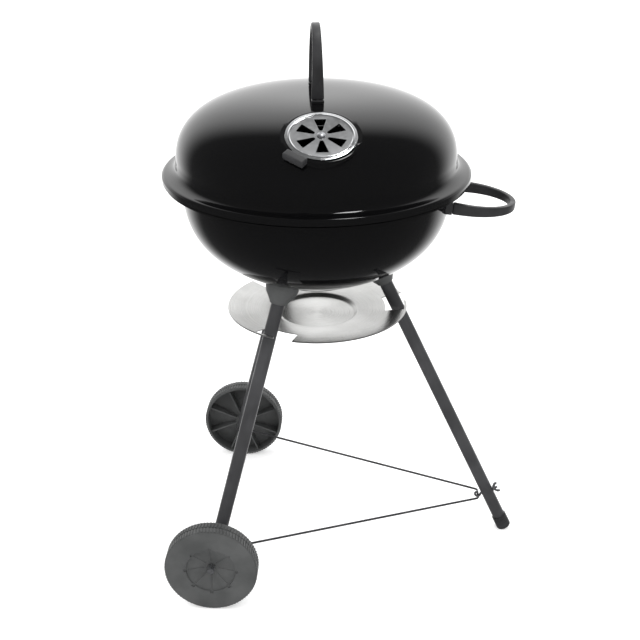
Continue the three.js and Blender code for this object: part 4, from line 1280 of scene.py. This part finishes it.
def hook_line():
    bend = 4.35
    turns = [math.radians(degrees) for degrees in range(210, 0, -15)]
    arc = [(bend * math.cos(turn), 0, -hook_reach - bend * math.sin(turn)) for turn in turns]
    ends = [Vector(end) for end in ((bend, 0, -hook_reach), (bend, 0, -13.655), (0, 0, -11.31), (0, 0, -9.3))]
    sway = []
    for step in range(8):
        t = step / 7
        weights = ((1 - t) ** 3, 3 * t * (1 - t) ** 2, 3 * t * t * (1 - t), t ** 3)
        sway.append(tuple(sum((end * weight for end, weight in zip(ends, weights)), Vector())))
    return arc + sway + [(0, 0, 8.5)]


hook_aim = Vector((0, 0, 1)).rotation_difference(hook_along).to_matrix().to_4x4()
hook_place = kettle @ Matrix.Translation(hook_point * mm) @ hook_aim
bolt = joined(wire_run("hook_bolt", hook_line(), 2), threaded("thread", 2, 8, 18.7, 0.8))
stand_in(settled(bolt, hook_place), "stand", "zinc", "brace_hook_bolt", angle=50)

# %% Wing nut
def wing_nut():
    root = [(1, 11.2), (4.4, 11.2), (9.5, 15.7), (9.5, 19.7)]
    outline = root + [(8.6, 20.5), (6.5, 20.7), (3.9, 15.4), (1, 15.4)]
    nut = spun("wing_nut", filleted([(0, 10.7), (4.4, 10.7), (4.0, 15.7), (0, 15.7)], 0.6, 3), 40)
    for turn in (0, 180):
        wing = modified(plate("wing", filleted(outline, 1.2, 4), 2), "BEVEL", width=0.5 * mm, segments=3,
                        limit_method="ANGLE", angle_limit=math.radians(60))
        boolean(nut, "UNION", settled(wing, turned(turn, "Z")))
    boolean(nut, "DIFFERENCE", rod("bore", 2.3, 9, 19))
    settled(nut, hook_place)
    stand_in(nut, "stand", "zinc", "brace_wing_nut")


wing_nut()

# %% [markdown]
# ## Ash tray
# The tray is a shallow dish with a round recess. Three L-shaped slots let the legs through: the
# tray is pushed up over them and then twisted, so that the pockets hold it.

# %% Where the legs pass the tray
tray_rim, tray_deep, tray_thick = 403, 15, 1.2


def legs_at_tray():
    spots = []
    for place, _, along in legs.values():
        seat = (place.translation - kettle.translation) / mm
        point = seat + along * ((tray_rim - leg_seat) / along.z)
        angle = math.degrees(math.atan2(point.y, point.x))
        spots.append((math.hypot(point.x, point.y), tube_radius / -along.z, angle))
    return spots


tray_spots = legs_at_tray()
slot_inner = min(radius - reach for radius, reach, _ in tray_spots) - 0.8
slot_outer = max(radius + reach for radius, reach, _ in tray_spots) + 1.2
tray_radius = slot_outer + 3.6
print("tray radius", round(tray_radius, 1), "mm, slots end at", round(slot_outer, 1), "mm")

# %% The tray and its slots
def tray_slot(radius, reach, angle):
    half = math.degrees(math.asin(reach / radius))
    mouth_start = half + 2.2
    mouth_end = mouth_start + 2 * half + 1.8
    pocket_start = -half - 1.8

    def arc(r, start, end):
        turns = [math.radians(start + (end - start) * step / 8) for step in range(9)]
        return [(r * math.cos(turn), r * math.sin(turn)) for turn in turns]

    outline = arc(slot_outer, pocket_start, mouth_start) + arc(tray_radius + 5, mouth_start, mouth_end)
    outline += arc(slot_inner, mouth_end, pocket_start)
    cutter = settled(plate("slot", filleted(outline, 1.5, 3), 50), turned(-90, "X"))
    turn = turned(angle, "Z")
    return settled(cutter, kettle @ shift(0, 0, tray_rim - 10) @ turn)


def ash_tray_dish():
    slope = (tray_deep - 5) / (tray_radius - 61)
    rim_edge = [(tray_radius, tray_rim - 1.6), (tray_radius - 0.4, tray_rim)]
    recess = [(65, tray_rim - slope * (tray_radius - 65)), (61.5, tray_rim - 10.3)]
    upper = rim_edge + recess + [(56.5, tray_rim - tray_deep), (0, tray_rim - tray_deep)]
    lower = [(radius, height - tray_thick) for radius, height in upper[1:]]
    lower[0] = (tray_radius - tray_thick, tray_rim - 1.4)
    lower.insert(0, (tray_radius - tray_thick, tray_rim - 1.6))
    outline = filleted(upper, 2, 4) + filleted(lower[::-1], 2, 4) + upper[:1]
    tray = settled(spun("tray_dish", outline, 144), kettle)
    boolean(tray, "DIFFERENCE", *[tray_slot(*spot) for spot in tray_spots])
    stand_in(tray, "ash_tray", "brushed_aluminium", "ash_tray")


ash_tray_dish()
left_plain = [name for name, node in nodes.items() if not node.hide_render]
print("frame nodes still shown:", left_plain)
